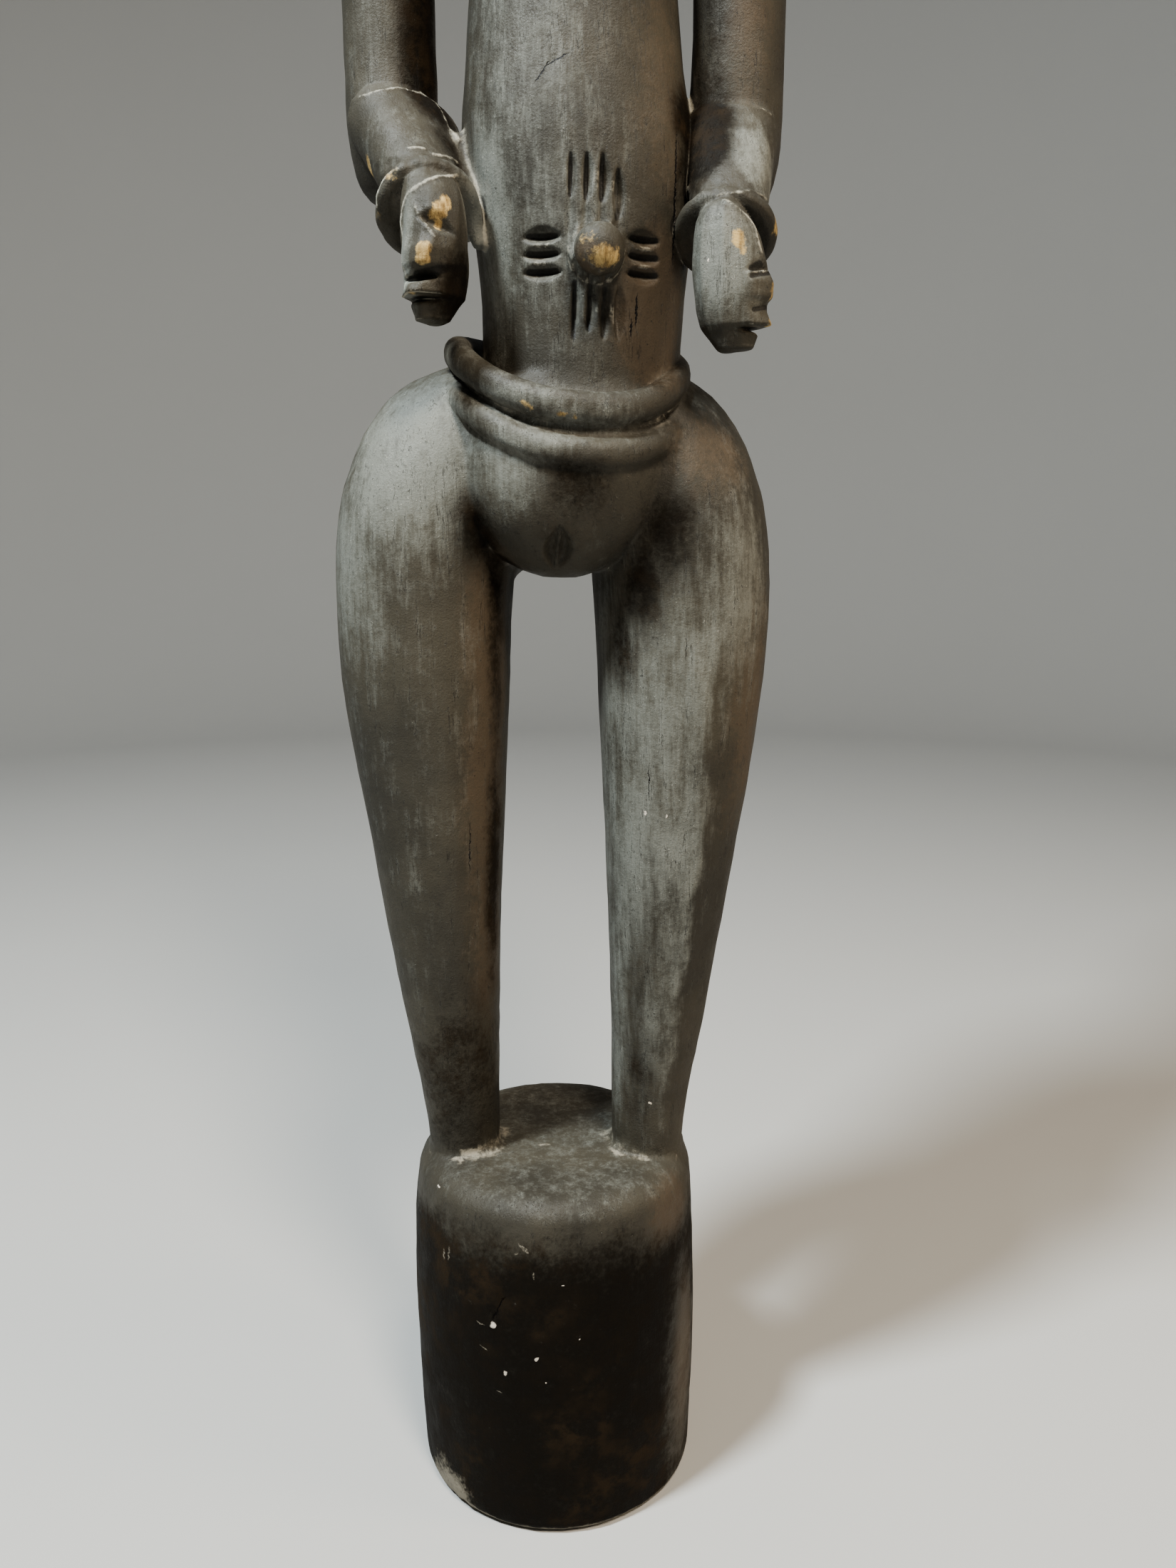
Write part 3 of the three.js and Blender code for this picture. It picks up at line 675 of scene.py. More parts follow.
def settled(points):
    """Moves points back onto the zero level, and gives the outward direction there."""
    for _ in range(2):
        slope = field_slope(points)
        steep = np.maximum((slope ** 2).sum(1), 0.2)
        step = np.clip(sample(field, points) / steep, -0.5, 0.5)
        points = points - slope * step[:, None]
    slope = field_slope(points)
    return points, slope / np.maximum(np.linalg.norm(slope, axis=1), 1e-6)[:, None]


def spots(points, places):
    """Soft round patches: each is x, y, z, radius, height and strength."""
    total = np.zeros(len(points))
    for x, y, z, radius, tall, strength in places:
        away = ((points[:, 0] - x) ** 2 + (points[:, 1] - y) ** 2) / radius ** 2
        away = away + (points[:, 2] - z) ** 2 / tall ** 2
        total = np.maximum(total, strength * np.clip(1.4 - np.sqrt(away), 0, 1))
    return np.clip(total, 0, 1)


def near_surface(reach):
    """The cells within reach of the surface: their flat indices and their places."""
    cells = np.flatnonzero(np.abs(field) < reach)
    index = np.unravel_index(cells, field.shape)
    return cells, np.stack([AXES[i][index[i]] for i in range(3)], axis=1)


# Half width of the streak of wear and painted highlight on a crest line
CREST_STREAK_WIDTH = 1.3
# Crest lines and arrises: path, half width, height, and strength of their wear and painted highlight
LINES = [
    (((-80.5, -9.7, 638.9), (-73, -18.8, 639.4), (-66.6, -18.7, 641.3), (-60.1, -13.4, 643.6),
      (-54, -8.8, 644), (-49.2, -6, 641), (-43.6, -12.1, 633.3), (-38, -19, 626)), 1.8, 0.8, 0.9),
    (((-36.5, -42.5, 604.9), (-45.1, -52, 601.1), (-50, -53.4, 598.1), (-54.2, -51.3, 594.9),
      (-56.6, -49.3, 590.5), (-57.8, -47.9, 586.5), (-56.6, -51.5, 579.2), (-56.2, -54.5, 568.7),
      (-55.6, -54.7, 560.9)), 1.7, 0.6, 0.85),
    (((-51.6, -54.5, 591.3), (-48.9, -57.4, 586.3), (-46, -59.9, 581.6), (-43.2, -61, 578.3)),
     1.5, 0.5, 0.7),
    (((-54.5, -41.7, 614.6), (-49.1, -40.1, 614.9)), 1.4, 0.5, 0.8),
    (((-45.8, -40.4, 612.5), (-38.2, -25.2, 614.2)), 1.4, 0.5, 0.8),
    (((-57.9, -48.4, 605.3), (-61, -46.5, 604.6), (-65.8, -43.7, 600.5), (-68.1, -41.1, 593.9)),
     1.5, 0.4, 0.9),
    (((65.3, -9.6, 639.2), (69.4, -12.8, 638.7), (80.7, -16.2, 635.8), (88.7, -11.5, 635.1)),
     1.8, 0.6, 0.5),
    (((65.5, -44, 597), (75.2, -44.6, 598.2), (86.9, -31.6, 598.4)), 1.5, 0.5, 0.6),
    (((67.9, -48.4, 594.4), (72.5, -49.6, 591.5), (77, -47.3, 589), (80.3, -46.5, 585.6),
      (82.2, -48.5, 578.6), (83.4, -48.3, 575.8)), 1.6, 0.5, 0.8),
    (((62.9, -39.5, 407), (66, -36.5, 360), (65.7, -34, 326.5), (62.4, -31.5, 292), (61.4, -28.5, 267)),
     7, 1, 0.15),
    (((-45.9, -37.7, 395), (-43.5, -26.9, 234)), 8, 0.6, 0),
]
# The two notches on the right fist
EYE_NOTCH = ((79, -53.5, 566), (83, -50.7, 567.2), (86.5, -48.3, 568))
MOUTH_NOTCH = ((80.5, -51, 554), (83.7, -49.2, 554.8), (86, -47, 555.5))
BESIDE_CUTS = [583.1 - STEP_BESIDE * i for i in range(3)]
# Painted shade on the floors of the cuts and notches, on a facet of the right fist and under the left
# fist's nose: path and half width
PAINTED_SHADES = [
    *[(((8.0 + STEP_ABOVE * i, -44, low + 3), (8.4 + STEP_ABOVE * i, -44, high - 2)), 1.2)
      for i, (low, high, _) in enumerate(CUTS_ABOVE)],
    *[(((9.2 + STEP_BELOW * i, -44, low + 3), (9.8 + STEP_BELOW * i, -44, high - 2)), 1.4)
      for i, (low, high, _) in enumerate(CUTS_BELOW)],
    *[(((-8.5, -38, z + 0.2), (2.5, -40.5, z)), 1.5) for z in BESIDE_CUTS],
    *[(((32.5, -37.5, z), (42.5, -32.5, z - 0.1)), 1.5) for z in BESIDE_CUTS],
    (EYE_NOTCH, 1.2),
    (((79.3, -51.1, 568.9), (82.7, -48.5, 571)), 2),
    (MOUTH_NOTCH, 1.2),
    (((-50.9, -57.2, 565.5), (-46.5, -59.3, 566), (-42.4, -58.7, 567), (-34, -46, 570)), 2),
]
# Places where the surface is crumbly: x, y, z, radius, height and strength
ROUGH = [
    (-54, -37, 606, 18, 8, 1), (-66, -36, 592, 7, 12, 1), (68, -33, 600, 16, 6, 0.8),
    (-31, -31, 470, 14, 20, 0.8), (44, -25, 205, 14, 30, 0.5), (42, -20, 176, 20, 8, 0.8),
    (-44, -18, 176, 20, 6, 0.6), (-48, -42, 8, 24, 12, 0.5), (6, -50, 505, 44, 26, 0.35),
]
# Cracks cut into the surface: path, half width and depth
FISSURES = [
    (((-22.9, -66.5, 127), (-25, -66.3, 121), (-28.4, -65, 113)), 0.8, 0.9),
    (((34.5, -38.5, 563), (34.8, -38, 557), (35.2, -37.4, 550)), 0.8, 0.9),
    (((-6, -41.5, 638), (-2, -42.2, 642), (2, -42.8, 645.5), (8, -43, 648.5)), 0.7, 0.4),
    (((44, -41, 470), (47, -37, 440), (46, -38, 420)), 0.7, 0.4),
    (EYE_NOTCH, 1.1, 1),
    (MOUTH_NOTCH, 1, 0.9),
]


def line_distance(points, path, reach):
    """The points within reach of a path, and how far from it they are."""
    path = np.array(path, float)
    low, high = path.min(0) - reach, path.max(0) + reach
    close = np.flatnonzero(((points > low) & (points < high)).all(1))
    near = points[close]
    away = np.full(len(close), np.inf)
    for a, b in zip(path, path[1:]):
        along = np.clip((near - a) @ (b - a) / ((b - a) @ (b - a)), 0, 1)
        away = np.minimum(away, np.linalg.norm(near - a - along[:, None] * (b - a), axis=1))
    inside = away < reach
    return close[inside], away[inside]


def on_surface(path):
    """The path in steps of about 1.5 mm, moved onto the surface."""
    path = np.array(path, float)
    steps = [np.linspace(a, b, max(int(np.linalg.norm(b - a) / 1.5), 1), endpoint=False)
             for a, b in zip(path, path[1:])]
    fine = np.vstack([*steps, path[-1:]])
    for _ in range(3):
        fine, _ = settled(fine)
    return fine


def hair_rows(points):
    """Rows cut into the hair: over the cap from front to back, and slanting on the crest."""
    x, y, z = points[:, 0] - BODY_X, points[:, 1], points[:, 2]
    hair = ramp(past_hairline(y, z), 0, 2) * ramp(z, NAPE_HEIGHT, NAPE_HEIGHT + 6)
    crest = np.abs(x) < CREST_THICKNESS / 2 + 1.2
    rows = np.where(crest, (0.75 * y + 0.66 * z) / 5.2, np.degrees(np.arctan2(x, z - 975)) / 7.5)
    return hair * (0.75 * np.abs(np.cos(np.pi * rows)) ** 3)


LINES = [(on_surface(path), width, height, wear_and_highlight) for path, width, height, wear_and_highlight in LINES]


def carve_relief():
    """Hand-carved unevenness: shallow waves, tool marks, arrises, cracks and crumbly places."""
    cells, points = near_surface(2.5)
    lift = 0.35 * noise(points, (22, 22, 34), 1) + 0.16 * noise(points, (7, 7, 16), 2)
    lift += 0.28 * (0.5 - np.abs(noise(points, (9, 9, 14), 4)))
    lift += 0.10 * noise(points, (2.8, 2.8, 8), 3)
    rough = spots(points, ROUGH)
    spot = np.flatnonzero(rough > 0)
    lift[spot] += 0.75 * rough[spot] * noise(points[spot], 2.9, 5)
    head = np.flatnonzero(points[:, 2] > NAPE_HEIGHT)
    lift[head] += hair_rows(points[head])
    for path, width, height, _ in LINES:
        close, away = line_distance(points, path, width)
        lift[close] -= height * (1 - away / width)
    for path, width, depth in FISSURES:
        close, away = line_distance(points, path, width + 0.5)
        lift[close] += depth * np.clip(1.3 - away / width, 0, 1)
    flat = field.reshape(-1)
    flat[cells] += lift.astype(np.float32)


carve_relief()
np.maximum(field, -AXES[2], out=field)


# The surface

FACE_BUDGET = 192000


def surface():
    """The zero level of the field as points in millimetres and four-sided faces."""
    grid = openvdb.FloatGrid(3.0)
    grid.copyFromArray(np.clip(field, -3, 3))
    points, quads = grid.convertToQuads(isovalue=0)
    return points.astype(np.float64) * CELL + LOW, quads.astype(np.int32)


def quad_mesh(name, points, quads):
    mesh = bpy.data.meshes.new(name)
    mesh.vertices.add(len(points))
    mesh.vertices.foreach_set("co", points.astype(np.float32).ravel())
    mesh.loops.add(quads.size)
    mesh.loops.foreach_set("vertex_index", quads.ravel())
    mesh.polygons.add(len(quads))
    mesh.polygons.foreach_set("loop_start", np.arange(0, quads.size, 4, dtype=np.int32))
    mesh.update(calc_edges=True)
    return mesh


def finely_carved(points):
    """Where the carving is finest, so that thinning the mesh spares it."""
    x, y, z = points.T
    fists = (z > 535) & (z < 645) & (y < -12) & ((x < -22) | (x > 50))
    navel = (z > 536) & (z < 620) & (y < -28) & (x > -16) & (x < 50)
    face = (z > 925) & (z < 1002) & (y < -25)
    slit = (z > 448) & (z < 476) & (np.abs(x - 3) < 9) & (y < -28)
    return fists | navel | face | slit


def fairly_carved(points):
    """Where rows and rolls need a middling mesh: hair, ears and belt."""
    _, y, z = points.T
    hair = (z > NAPE_HEIGHT) & (y > -40)
    belt = (z > 488) & (z < 548) & (y < -20)
    return hair | belt


def vertex_places(mesh):
    places = np.empty(len(mesh.vertices) * 3, np.float32)
    mesh.vertices.foreach_get("co", places)
    return places.reshape(-1, 3)


def thinned(mesh):
    """The mesh with fewer faces, most of them kept where the carving is fine."""
    obj = bpy.data.objects.new("thinning", mesh)
    bpy.context.scene.collection.objects.link(obj)
    points = vertex_places(mesh)
    fine, fair = finely_carved(points), fairly_carved(points)
    group = obj.vertex_groups.new(name="plain")
    group.add(np.flatnonzero(~fine & ~fair).tolist(), 1.0, "REPLACE")
    group.add(np.flatnonzero(~fine & fair).tolist(), 0.3, "REPLACE")
    modifier = obj.modifiers.new("thin", "DECIMATE")
    modifier.ratio = FACE_BUDGET / (2 * len(mesh.polygons))
    modifier.use_collapse_triangulate = True
    modifier.vertex_group = group.name
    modifier.vertex_group_factor = 1.0
    result = bpy.data.meshes.new_from_object(obj.evaluated_get(bpy.context.evaluated_depsgraph_get()))
    bpy.data.objects.remove(obj)
    return result


# Painted patches of dust and sheen, brownish wood and warm light, very dark patina and shadow, and bare
# wood: x, y, z, radius, height and strength
PATCHES = {
    # Grey dust, and painted sheen where the key light falls: the torso's left, the fists, the belt's tops,
    # the left hip and the right leg's front
    "dust_and_sheen": [
        (-12, -40, 655, 34, 80, 0.4), (4, -42, 590, 26, 45, 0.5), (-10, -38, 740, 34, 70, 0.35),
        # (-28, -32, 585) is painted light over the left arm's shadow on the torso's left flank
        (-28, -32, 585, 14, 50, 1.1), (6, -54, 512, 20, 5, 0.8),
        (-59, -34, 622, 24, 26, 0.25), (84, -28, 614, 14, 24, 0.8), (66, -52, 574, 19, 24, 0.9),
        (-55, -54, 573, 5, 30, 1), (-30, -31, 598, 9, 18, 1.1), (-62, -34, 500, 36, 46, 1),
        (-82, -20, 455, 26, 50, 0.8),
        (-18, -49, 497, 16, 22, 0.8), (78, -30, 445, 20, 45, 0.7), (46, -38, 392, 22, 50, 0.7),
        (50, -36, 330, 20, 60, 0.5), (44, -30, 262, 16, 40, 0.3), (5, -20, 172, 46, 10, 0.3),
        (-16, -53, 520, 26, 9, 0.7), (22, -54, 513, 24, 8, 0.5), (-10, -53, 504, 30, 6, 0.7),
        (7, -50, 790, 60, 40, 0.5),
        (7, -45, 975, 42, 60, 0.45), (-70, -10, 740, 26, 90, 0.4), (0, 40, 690, 60, 120, 0.35),
    ],
    # Brownish wood, and painted warm light on the sides that face the right-hand lamp: the torso's right,
    # the hips, the legs, the right arm and the base; the navel's tint is wear
    "brown_and_warm_light": [
        (13, -62, 570, 12, 9, 0.9), (-36, -24, 330, 12, 110, 0.5),
        (-26, -24, 420, 18, 60, 0.9), (-31, -24, 357, 16, 60, 0.8), (-30, -20, 288, 14, 60, 0.7),
        (68, -31, 499, 24, 24, 0.6), (82, -20, 400, 20, 70, 0.7), (45, -30, 640, 20, 60, 0.5),
        (42, -30, 556, 20, 36, 1), (80, -12, 690, 14, 70, 0.6), (54, -38, 152, 20, 18, 0.8),
        (63, -29, 70, 16, 60, 0.7),
        (30, 40, 420, 60, 120, 0.5), (-40, 40, 300, 40, 80, 0.4), (40, 30, 780, 50, 80, 0.4),
    ],
    # Very dark patina, and painted shadow: the belly's shadow on the right thigh, the shaded left part of
    # the right arm, and the sides of the left arm, fist and leg that face away from the key light
    "black_and_shadow": [
        (-32, -30, 470, 13, 18, 0.9), (-45, -26, 215, 26, 50, 0.6), (11, -50, 487, 16, 16, 0.6),
        (3, -44, 463, 16, 10, 0.3), (61, -18, 632, 15, 16, 1.3), (63, -26, 618, 11, 22, 1.3),
        (66, -12, 685, 10, 60, 0.55), (-49, -10, 660, 13, 60, 1.2), (-36, -50, 560, 12, 22, 0.9),
        (-40, -25, 615, 10, 26, 0.7), (-20, -24, 425, 9, 70, 1.1), (-26, -20, 310, 8, 70, 0.9),
        # (50, -38, 468), (38, -36, 445) and (28, -32, 420) are the belly's painted shadow on the right
        # thigh
        (50, -38, 468, 13, 20, 0.9), (38, -36, 445, 12, 22, 0.9), (28, -32, 420, 10, 24, 0.8),
        (40, -28, 275, 8, 40, 0.4), (40, -24, 215, 10, 30, 0.6), (0, 20, 440, 30, 60, 0.5),
    ],
    "raw": [
        (22, -60.5, 571.5, 8, 6, 0.85), (15.5, -60.5, 578, 7, 4.5, 0.6), (12.5, -58, 571, 4, 5, 0.5),
        (-39.1, -55, 592.5, 3, 4.8, 0.95), (-41.4, -57.5, 588.8, 4, 4.6, 0.95),
        (-44, -57.5, 587, 3.4, 2.8, 0.8), (-42.3, -56.6, 583.8, 2.6, 4, 0.9),
        (-48.5, -62.7, 574.2, 2.8, 3.4, 1), (-46.3, -62.8, 574.2, 2.8, 3.4, 1),
        (-48.5, -62.6, 570.2, 2.8, 3.2, 1), (-46.2, -62.7, 570.5, 2.6, 3, 0.9),
        (-53, -60, 557, 4, 3, 0.7), (-73, -25, 612.6, 3.2, 6, 1), (-60.9, -47, 604, 5, 4, 0.6),
        (-69, -40, 590, 4, 5, 0.5), (73.8, -53, 579.8, 3.6, 4.6, 1), (75.3, -53, 575.8, 2.6, 3, 0.8),
        (88.5, -46, 562, 4, 7, 0.8), (88, -46, 549, 3, 4, 0.8), (86, -46, 576, 3, 4, 0.6),
        (91.5, -34, 588, 4, 9, 0.7),
        (-10.1, -52.6, 518.9, 2.6, 2, 0.9), (-7.3, -52.8, 516.7, 2.4, 2, 0.8),
        (4.4, -53.5, 514.2, 3.4, 2, 0.9), (9.2, -53.4, 513.4, 3, 2, 0.8),
    ],
}
# Places spared from the base's dark paint: brownish wood, and painted warm light on the base's right side
BASE_BROWN_AND_WARM_LIGHT = [(66, -30, 60, 20, 70, 0.8), (56, -40, 156, 26, 18, 0.9), (-20, 66, 120, 40, 40, 0.6)]


def leg_dust_and_sheen(points, outward):
    """Grey dust and painted sheen on the legs: patchy up to the arris on the viewer's right, where the
    front that faces the key light is painted lighter than the side beyond, and thin on the left.
    """
    x, _, z = points.T
    front = ramp(0.47 - outward[:, 0] + 0.16 * noise(points, (5, 5, 11), 9), 0, 0.16)
    front = front * np.clip(0.6 - outward[:, 1], 0, 1)
    mottled = 0.52 + 0.34 * noise(points, (9, 9, 22), 8) + 0.14 * ramp(z, 250, 330)
    above = z - BASE_HEIGHT
    right = ramp(x, 10, 14) * ramp(above, 4, 24) * front * mottled
    left = ramp(x, -4, -8) * ramp(above, 4, 44) * (0.12 + 0.18 * noise(points, (9, 9, 60), 7))
    return ramp(z, THIGH_TOP, THIGH_TOP - 50) * np.maximum(right, left)


def raise_to(values, where, least):
    values[where] = np.maximum(values[where], least)


def paint(mesh, points, outward):
    """Stores how hollow and edged each point is, its wear and painted highlight, dust and painted sheen,
    brownish wood and painted warm light, very dark patina and painted shadow, and painted shade in narrow
    gaps, for the material.
    """
    z = points[:, 2]
    values = {name: spots(points, places) for name, places in PATCHES.items()}
    values["hollow"] = np.clip(1 - sample(field, points + outward * 5) / 5, 0, 1)
    # Painted shade where another surface lies within 2 mm, as in cuts and narrow gaps
    values["tight_shade"] = np.clip(1 - sample(field, points + outward * 2) / 2, 0, 1)
    values["edge"] = np.clip(1 + sample(field, points - outward * 1.6) / 1.6, 0, 1)
    values["edge"] *= np.where(z > CHIN_HEIGHT, 0.45, 1)
    # The base is painted very dark below its rim, with a ragged edge
    base = ramp(z - 9 * noise(points, (17, 17, 12), 6), BASE_HEIGHT - 2, BASE_HEIGHT - 36)
    values["black_and_shadow"] = np.maximum(values["black_and_shadow"], base * (1 - spots(points, BASE_BROWN_AND_WARM_LIGHT)))
    # Grey dust and painted sheen on up-facing places and on the legs, none on the base below its rim
    values["dust_and_sheen"] = np.maximum(values["dust_and_sheen"], 0.3 * np.clip(outward[:, 2], 0, 1)) * (1 - base)
    values["dust_and_sheen"] = np.maximum(values["dust_and_sheen"], leg_dust_and_sheen(points, outward))
    # Wear and painted highlight along the crest lines
    values["wear_and_highlight"] = np.zeros(len(points))
    for path, _, _, strength in LINES:
        close, away = line_distance(points, path, CREST_STREAK_WIDTH)
        raise_to(values["wear_and_highlight"], close, strength * (1.1 - away / CREST_STREAK_WIDTH))
    collar = np.clip(1.4 - np.abs(z - BASE_HEIGHT - 2) / 6, 0, 1)
    collar *= np.clip(3 * values["hollow"] - 0.5, 0, 1)
    for path, radius in WEBS:
        close, away = line_distance(points, path, radius + 2)
        raise_to(collar, close, 0.55 - 0.4 * away / (radius + 2))
    foot = np.clip((6 - z) / 4, 0, 1) + spots(points, [(-52, -44, 4, 20, 18, 1)])
    values["dust"] = np.clip(np.maximum(collar, 0.8 * foot), 0, 1)
    # Painted shade along the cut floors and notches
    flatter = (1, 0.3, 1)
    for path, radius in PAINTED_SHADES:
        close, away = line_distance(points * flatter, np.array(path) * flatter, radius + 0.6)
        raise_to(values["tight_shade"], close, 1.5 - away / radius)
    for name, value in values.items():
        mesh.attributes.new(name, "FLOAT", "POINT").data.foreach_set("value", value.astype(np.float32))


def build_carving():
    mesh = thinned(quad_mesh("carving", *surface()))
    points, outward = settled(vertex_places(mesh).astype(np.float64))
    points[:, 2] = np.maximum(points[:, 2], 0)
    mesh.vertices.foreach_set("co", (points * MM).astype(np.float32).ravel())
    mesh.shade_smooth()
    paint(mesh, points, outward)
    mesh.normals_split_custom_set_from_vertices(outward)
    mesh.update()
    carving = bpy.data.objects.new("carved_figure_surface", mesh)
    bpy.context.scene.collection.objects.link(carving)
    return carving


carving = build_carving()
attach(carving, "root")
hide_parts(NODE)


# Materials

class Nodes:
    """Short names for building a node tree."""

    def __init__(self, name):
        self.material = bpy.data.materials.new(name)
        self.material.use_nodes = True
        self.tree = self.material.node_tree
        self.tree.nodes.clear()

    def node(self, kind, **settings):
        node = self.tree.nodes.new(kind)
        for key, value in settings.items():
            setattr(node, key, value)
        return node

    def feed(self, socket, value):
        if isinstance(value, bpy.types.NodeSocket):
            self.tree.links.new(value, socket)
        else:
            socket.default_value = value

    def math(self, operation, a, b=0.0):
        node = self.node("ShaderNodeMath", operation=operation)
        self.feed(node.inputs[0], a)
        self.feed(node.inputs[1], b)
        return node.outputs[0]

    def times(self, a, b):
        return self.math("MULTIPLY", a, b)

    def plus(self, a, b):
        return self.math("ADD", a, b)

    def less(self, a, b):
        return self.math("SUBTRACT", a, b)

    def mask(self, value, low, high, lowest=0.0, highest=1.0):
        """Maps a value from low..high to a smooth step."""
        node = self.node("ShaderNodeMapRange", interpolation_type="SMOOTHSTEP")
        self.feed(node.inputs["Value"], value)
        ends = {"From Min": low, "From Max": high, "To Min": lowest, "To Max": highest}
        for name, number in ends.items():
            node.inputs[name].default_value = number
        return node.outputs["Result"]

    def mix(self, share, a, b):
        node = self.node("ShaderNodeMix", data_type="RGBA")
        self.feed(node.inputs[0], share)
        self.feed(node.inputs[6], a if isinstance(a, bpy.types.NodeSocket) else (*a, 1))
        self.feed(node.inputs[7], b if isinstance(b, bpy.types.NodeSocket) else (*b, 1))
        return node.outputs[2]

    def noise(self, place, scale, detail=4.0, roughness=0.55):
        node = self.node("ShaderNodeTexNoise")
        self.feed(node.inputs["Vector"], place)
        for name, number in (("Scale", scale), ("Detail", detail), ("Roughness", roughness)):
            node.inputs[name].default_value = number
        return node.outputs["Fac"]

    def stretched(self, place, scale):
        node = self.node("ShaderNodeMapping")
        self.feed(node.inputs["Vector"], place)
        node.inputs["Scale"].default_value = scale
        return node.outputs["Vector"]

    def shifted(self, place, amount):
        node = self.node("ShaderNodeVectorMath", operation="ADD")
        self.feed(node.inputs[0], place)
        node.inputs[1].default_value = (amount, amount, amount)
        return node.outputs["Vector"]

    def attribute(self, name):
        return self.node("ShaderNodeAttribute", attribute_name=name).outputs["Fac"]


def mark(n, place, middle, radii, lean=0.0):
    """A small soft-edged spot or scratch; lean tilts it to the right, in degrees."""
    node = n.node("ShaderNodeMapping", vector_type="TEXTURE")
    n.feed(node.inputs["Vector"], place)
    node.inputs["Location"].default_value = [MM * v for v in middle]
    node.inputs["Rotation"].default_value = (0, math.radians(lean), 0)
    node.inputs["Scale"].default_value = [MM * v for v in radii]
    length = n.node("ShaderNodeVectorMath", operation="LENGTH")
    n.feed(length.inputs[0], node.outputs["Vector"])
    return n.mask(length.outputs["Value"], 1.15, 0.75)


def marks(n, place, places):
    """All of the marks in a list together."""
    total = 0.0
    for middle, radii, lean in places:
        total = n.math("MAXIMUM", total, mark(n, place, middle, radii, lean))
    return total


# Small marks: middle, radii and lean
WHITE_MARKS = [
    ((-28.5, -65, 111.5), (1.5, 4, 1.5), 0), ((-8.3, -70, 97.5), (1.3, 4, 0.7), -35),
    ((-23.1, -67, 87.7), (0.8, 4, 1.1), 10), ((-4.2, -70, 85.1), (0.4, 4, 0.4), 0),
    ((3.9, -69, 134.2), (0.6, 4, 0.35), 0), ((11.3, -69, 106.8), (0.35, 4, 0.5), 20),
    ((-55.4, -35, 164.8), (0.75, 4, 0.7), 0), ((44.9, -24.7, 201.1), (0.9, 4, 0.7), 0),
    ((40.6, -34, 346.2), (0.5, 4, 1.2), 0), ((49.9, -36.4, 345.2), (0.4, 4, 0.9), 0),
    ((62.2, -51.2, 572), (0.5, 4, 0.8), 0), ((-33, -36, 622), (0.6, 5, 0.6), 0),
]
PALE_SCRATCHES = [
    ((-52.6, -48, 136), (0.45, 4, 3.0), 4), ((-50.0, -50, 138), (0.4, 4, 4.0), 6),
    ((-9.3, -68.7, 139.1), (0.45, 4, 2.0), -10), ((-34.5, -62, 110.4), (2.2, 4, 0.35), 8),
    ((-33, -62, 98), (2.4, 4, 0.4), 28), ((-26, -66, 77), (1.4, 4, 0.35), 0),
    ((-55, -42, 62), (0.5, 4, 2.0), -20), ((-13.8, -67.1, 151.7), (3.2, 4, 0.9), 40),
    ((-6.5, -10.5, 172), (3.2, 1.0, 3), 0), ((-17, -64, 149), (1.6, 4, 0.6), -30),
]
CRACKS = [
    ((-26.2, -65.6, 119.5), (0.4, 4, 6.6), 24), ((50.3, -26, 600), (0.45, 5, 26), 1),
    ((34.8, -37.6, 556), (0.45, 4, 6.4), 2), ((32.6, -38.6, 549), (0.35, 4, 3.4), 4),
    ((-2.6, -42, 641.6), (0.35, 4, 4.6), 38), ((3.4, -42.7, 645.9), (0.35, 4, 4.4), 62),
    ((-38, -30, 330), (0.2, 5, 12), 2), ((42, -35, 360), (0.2, 5, 8), -1), ((57, -37, 420), (0.2, 5, 8), 1),
]


# Colours of the wood and of what lies on it, linear
OLD_WOOD, OLD_WOOD_LIGHT = (0.030, 0.027, 0.021), (0.052, 0.046, 0.034)
# Brownish wood, and painted warm light on the right-facing sides
BROWN_WOOD_AND_WARM_LIGHT = (0.074, 0.055, 0.037)
# Grey dust, and painted sheen where the key light falls
GREY_DUST_AND_SHEEN = (0.148, 0.150, 0.133)
# Very dark patina, and painted shadow on shaded sides; the rusty crust is real
BLACK_CRUST_AND_SHADOW, RUSTY_CRUST = (0.0062, 0.0048, 0.0036), (0.025, 0.017, 0.010)
PIT, GRAIN_LINE = (0.012, 0.010, 0.008), (0.010, 0.008, 0.007)
# Painted shade in cut floors, notches and narrow gaps; the crack colour is real
CUT_SHADE, CRACK = (0.008, 0.007, 0.006), (0.004, 0.003, 0.003)
PALE_SPECK, PALE_FLECK = (0.34, 0.33, 0.29), (0.26, 0.25, 0.21)
HOLLOW_DIRT, CAUGHT_DUST = (0.19, 0.17, 0.14), (0.25, 0.225, 0.18)
# Rubbed edges, and wear with painted highlight along the crest lines
RUBBED_EDGE, WORN_AND_HIGHLIT_CREST = (0.30, 0.28, 0.23), (0.29, 0.275, 0.23)
BARE_WOOD_DARK, BARE_WOOD = (0.17, 0.108, 0.042), (0.40, 0.29, 0.132)
FRESH_CHIP, SCRATCH = (0.56, 0.50, 0.43), (0.30, 0.27, 0.22)
# How far the edges of small marks wander, in metres
WOBBLE = 0.0018


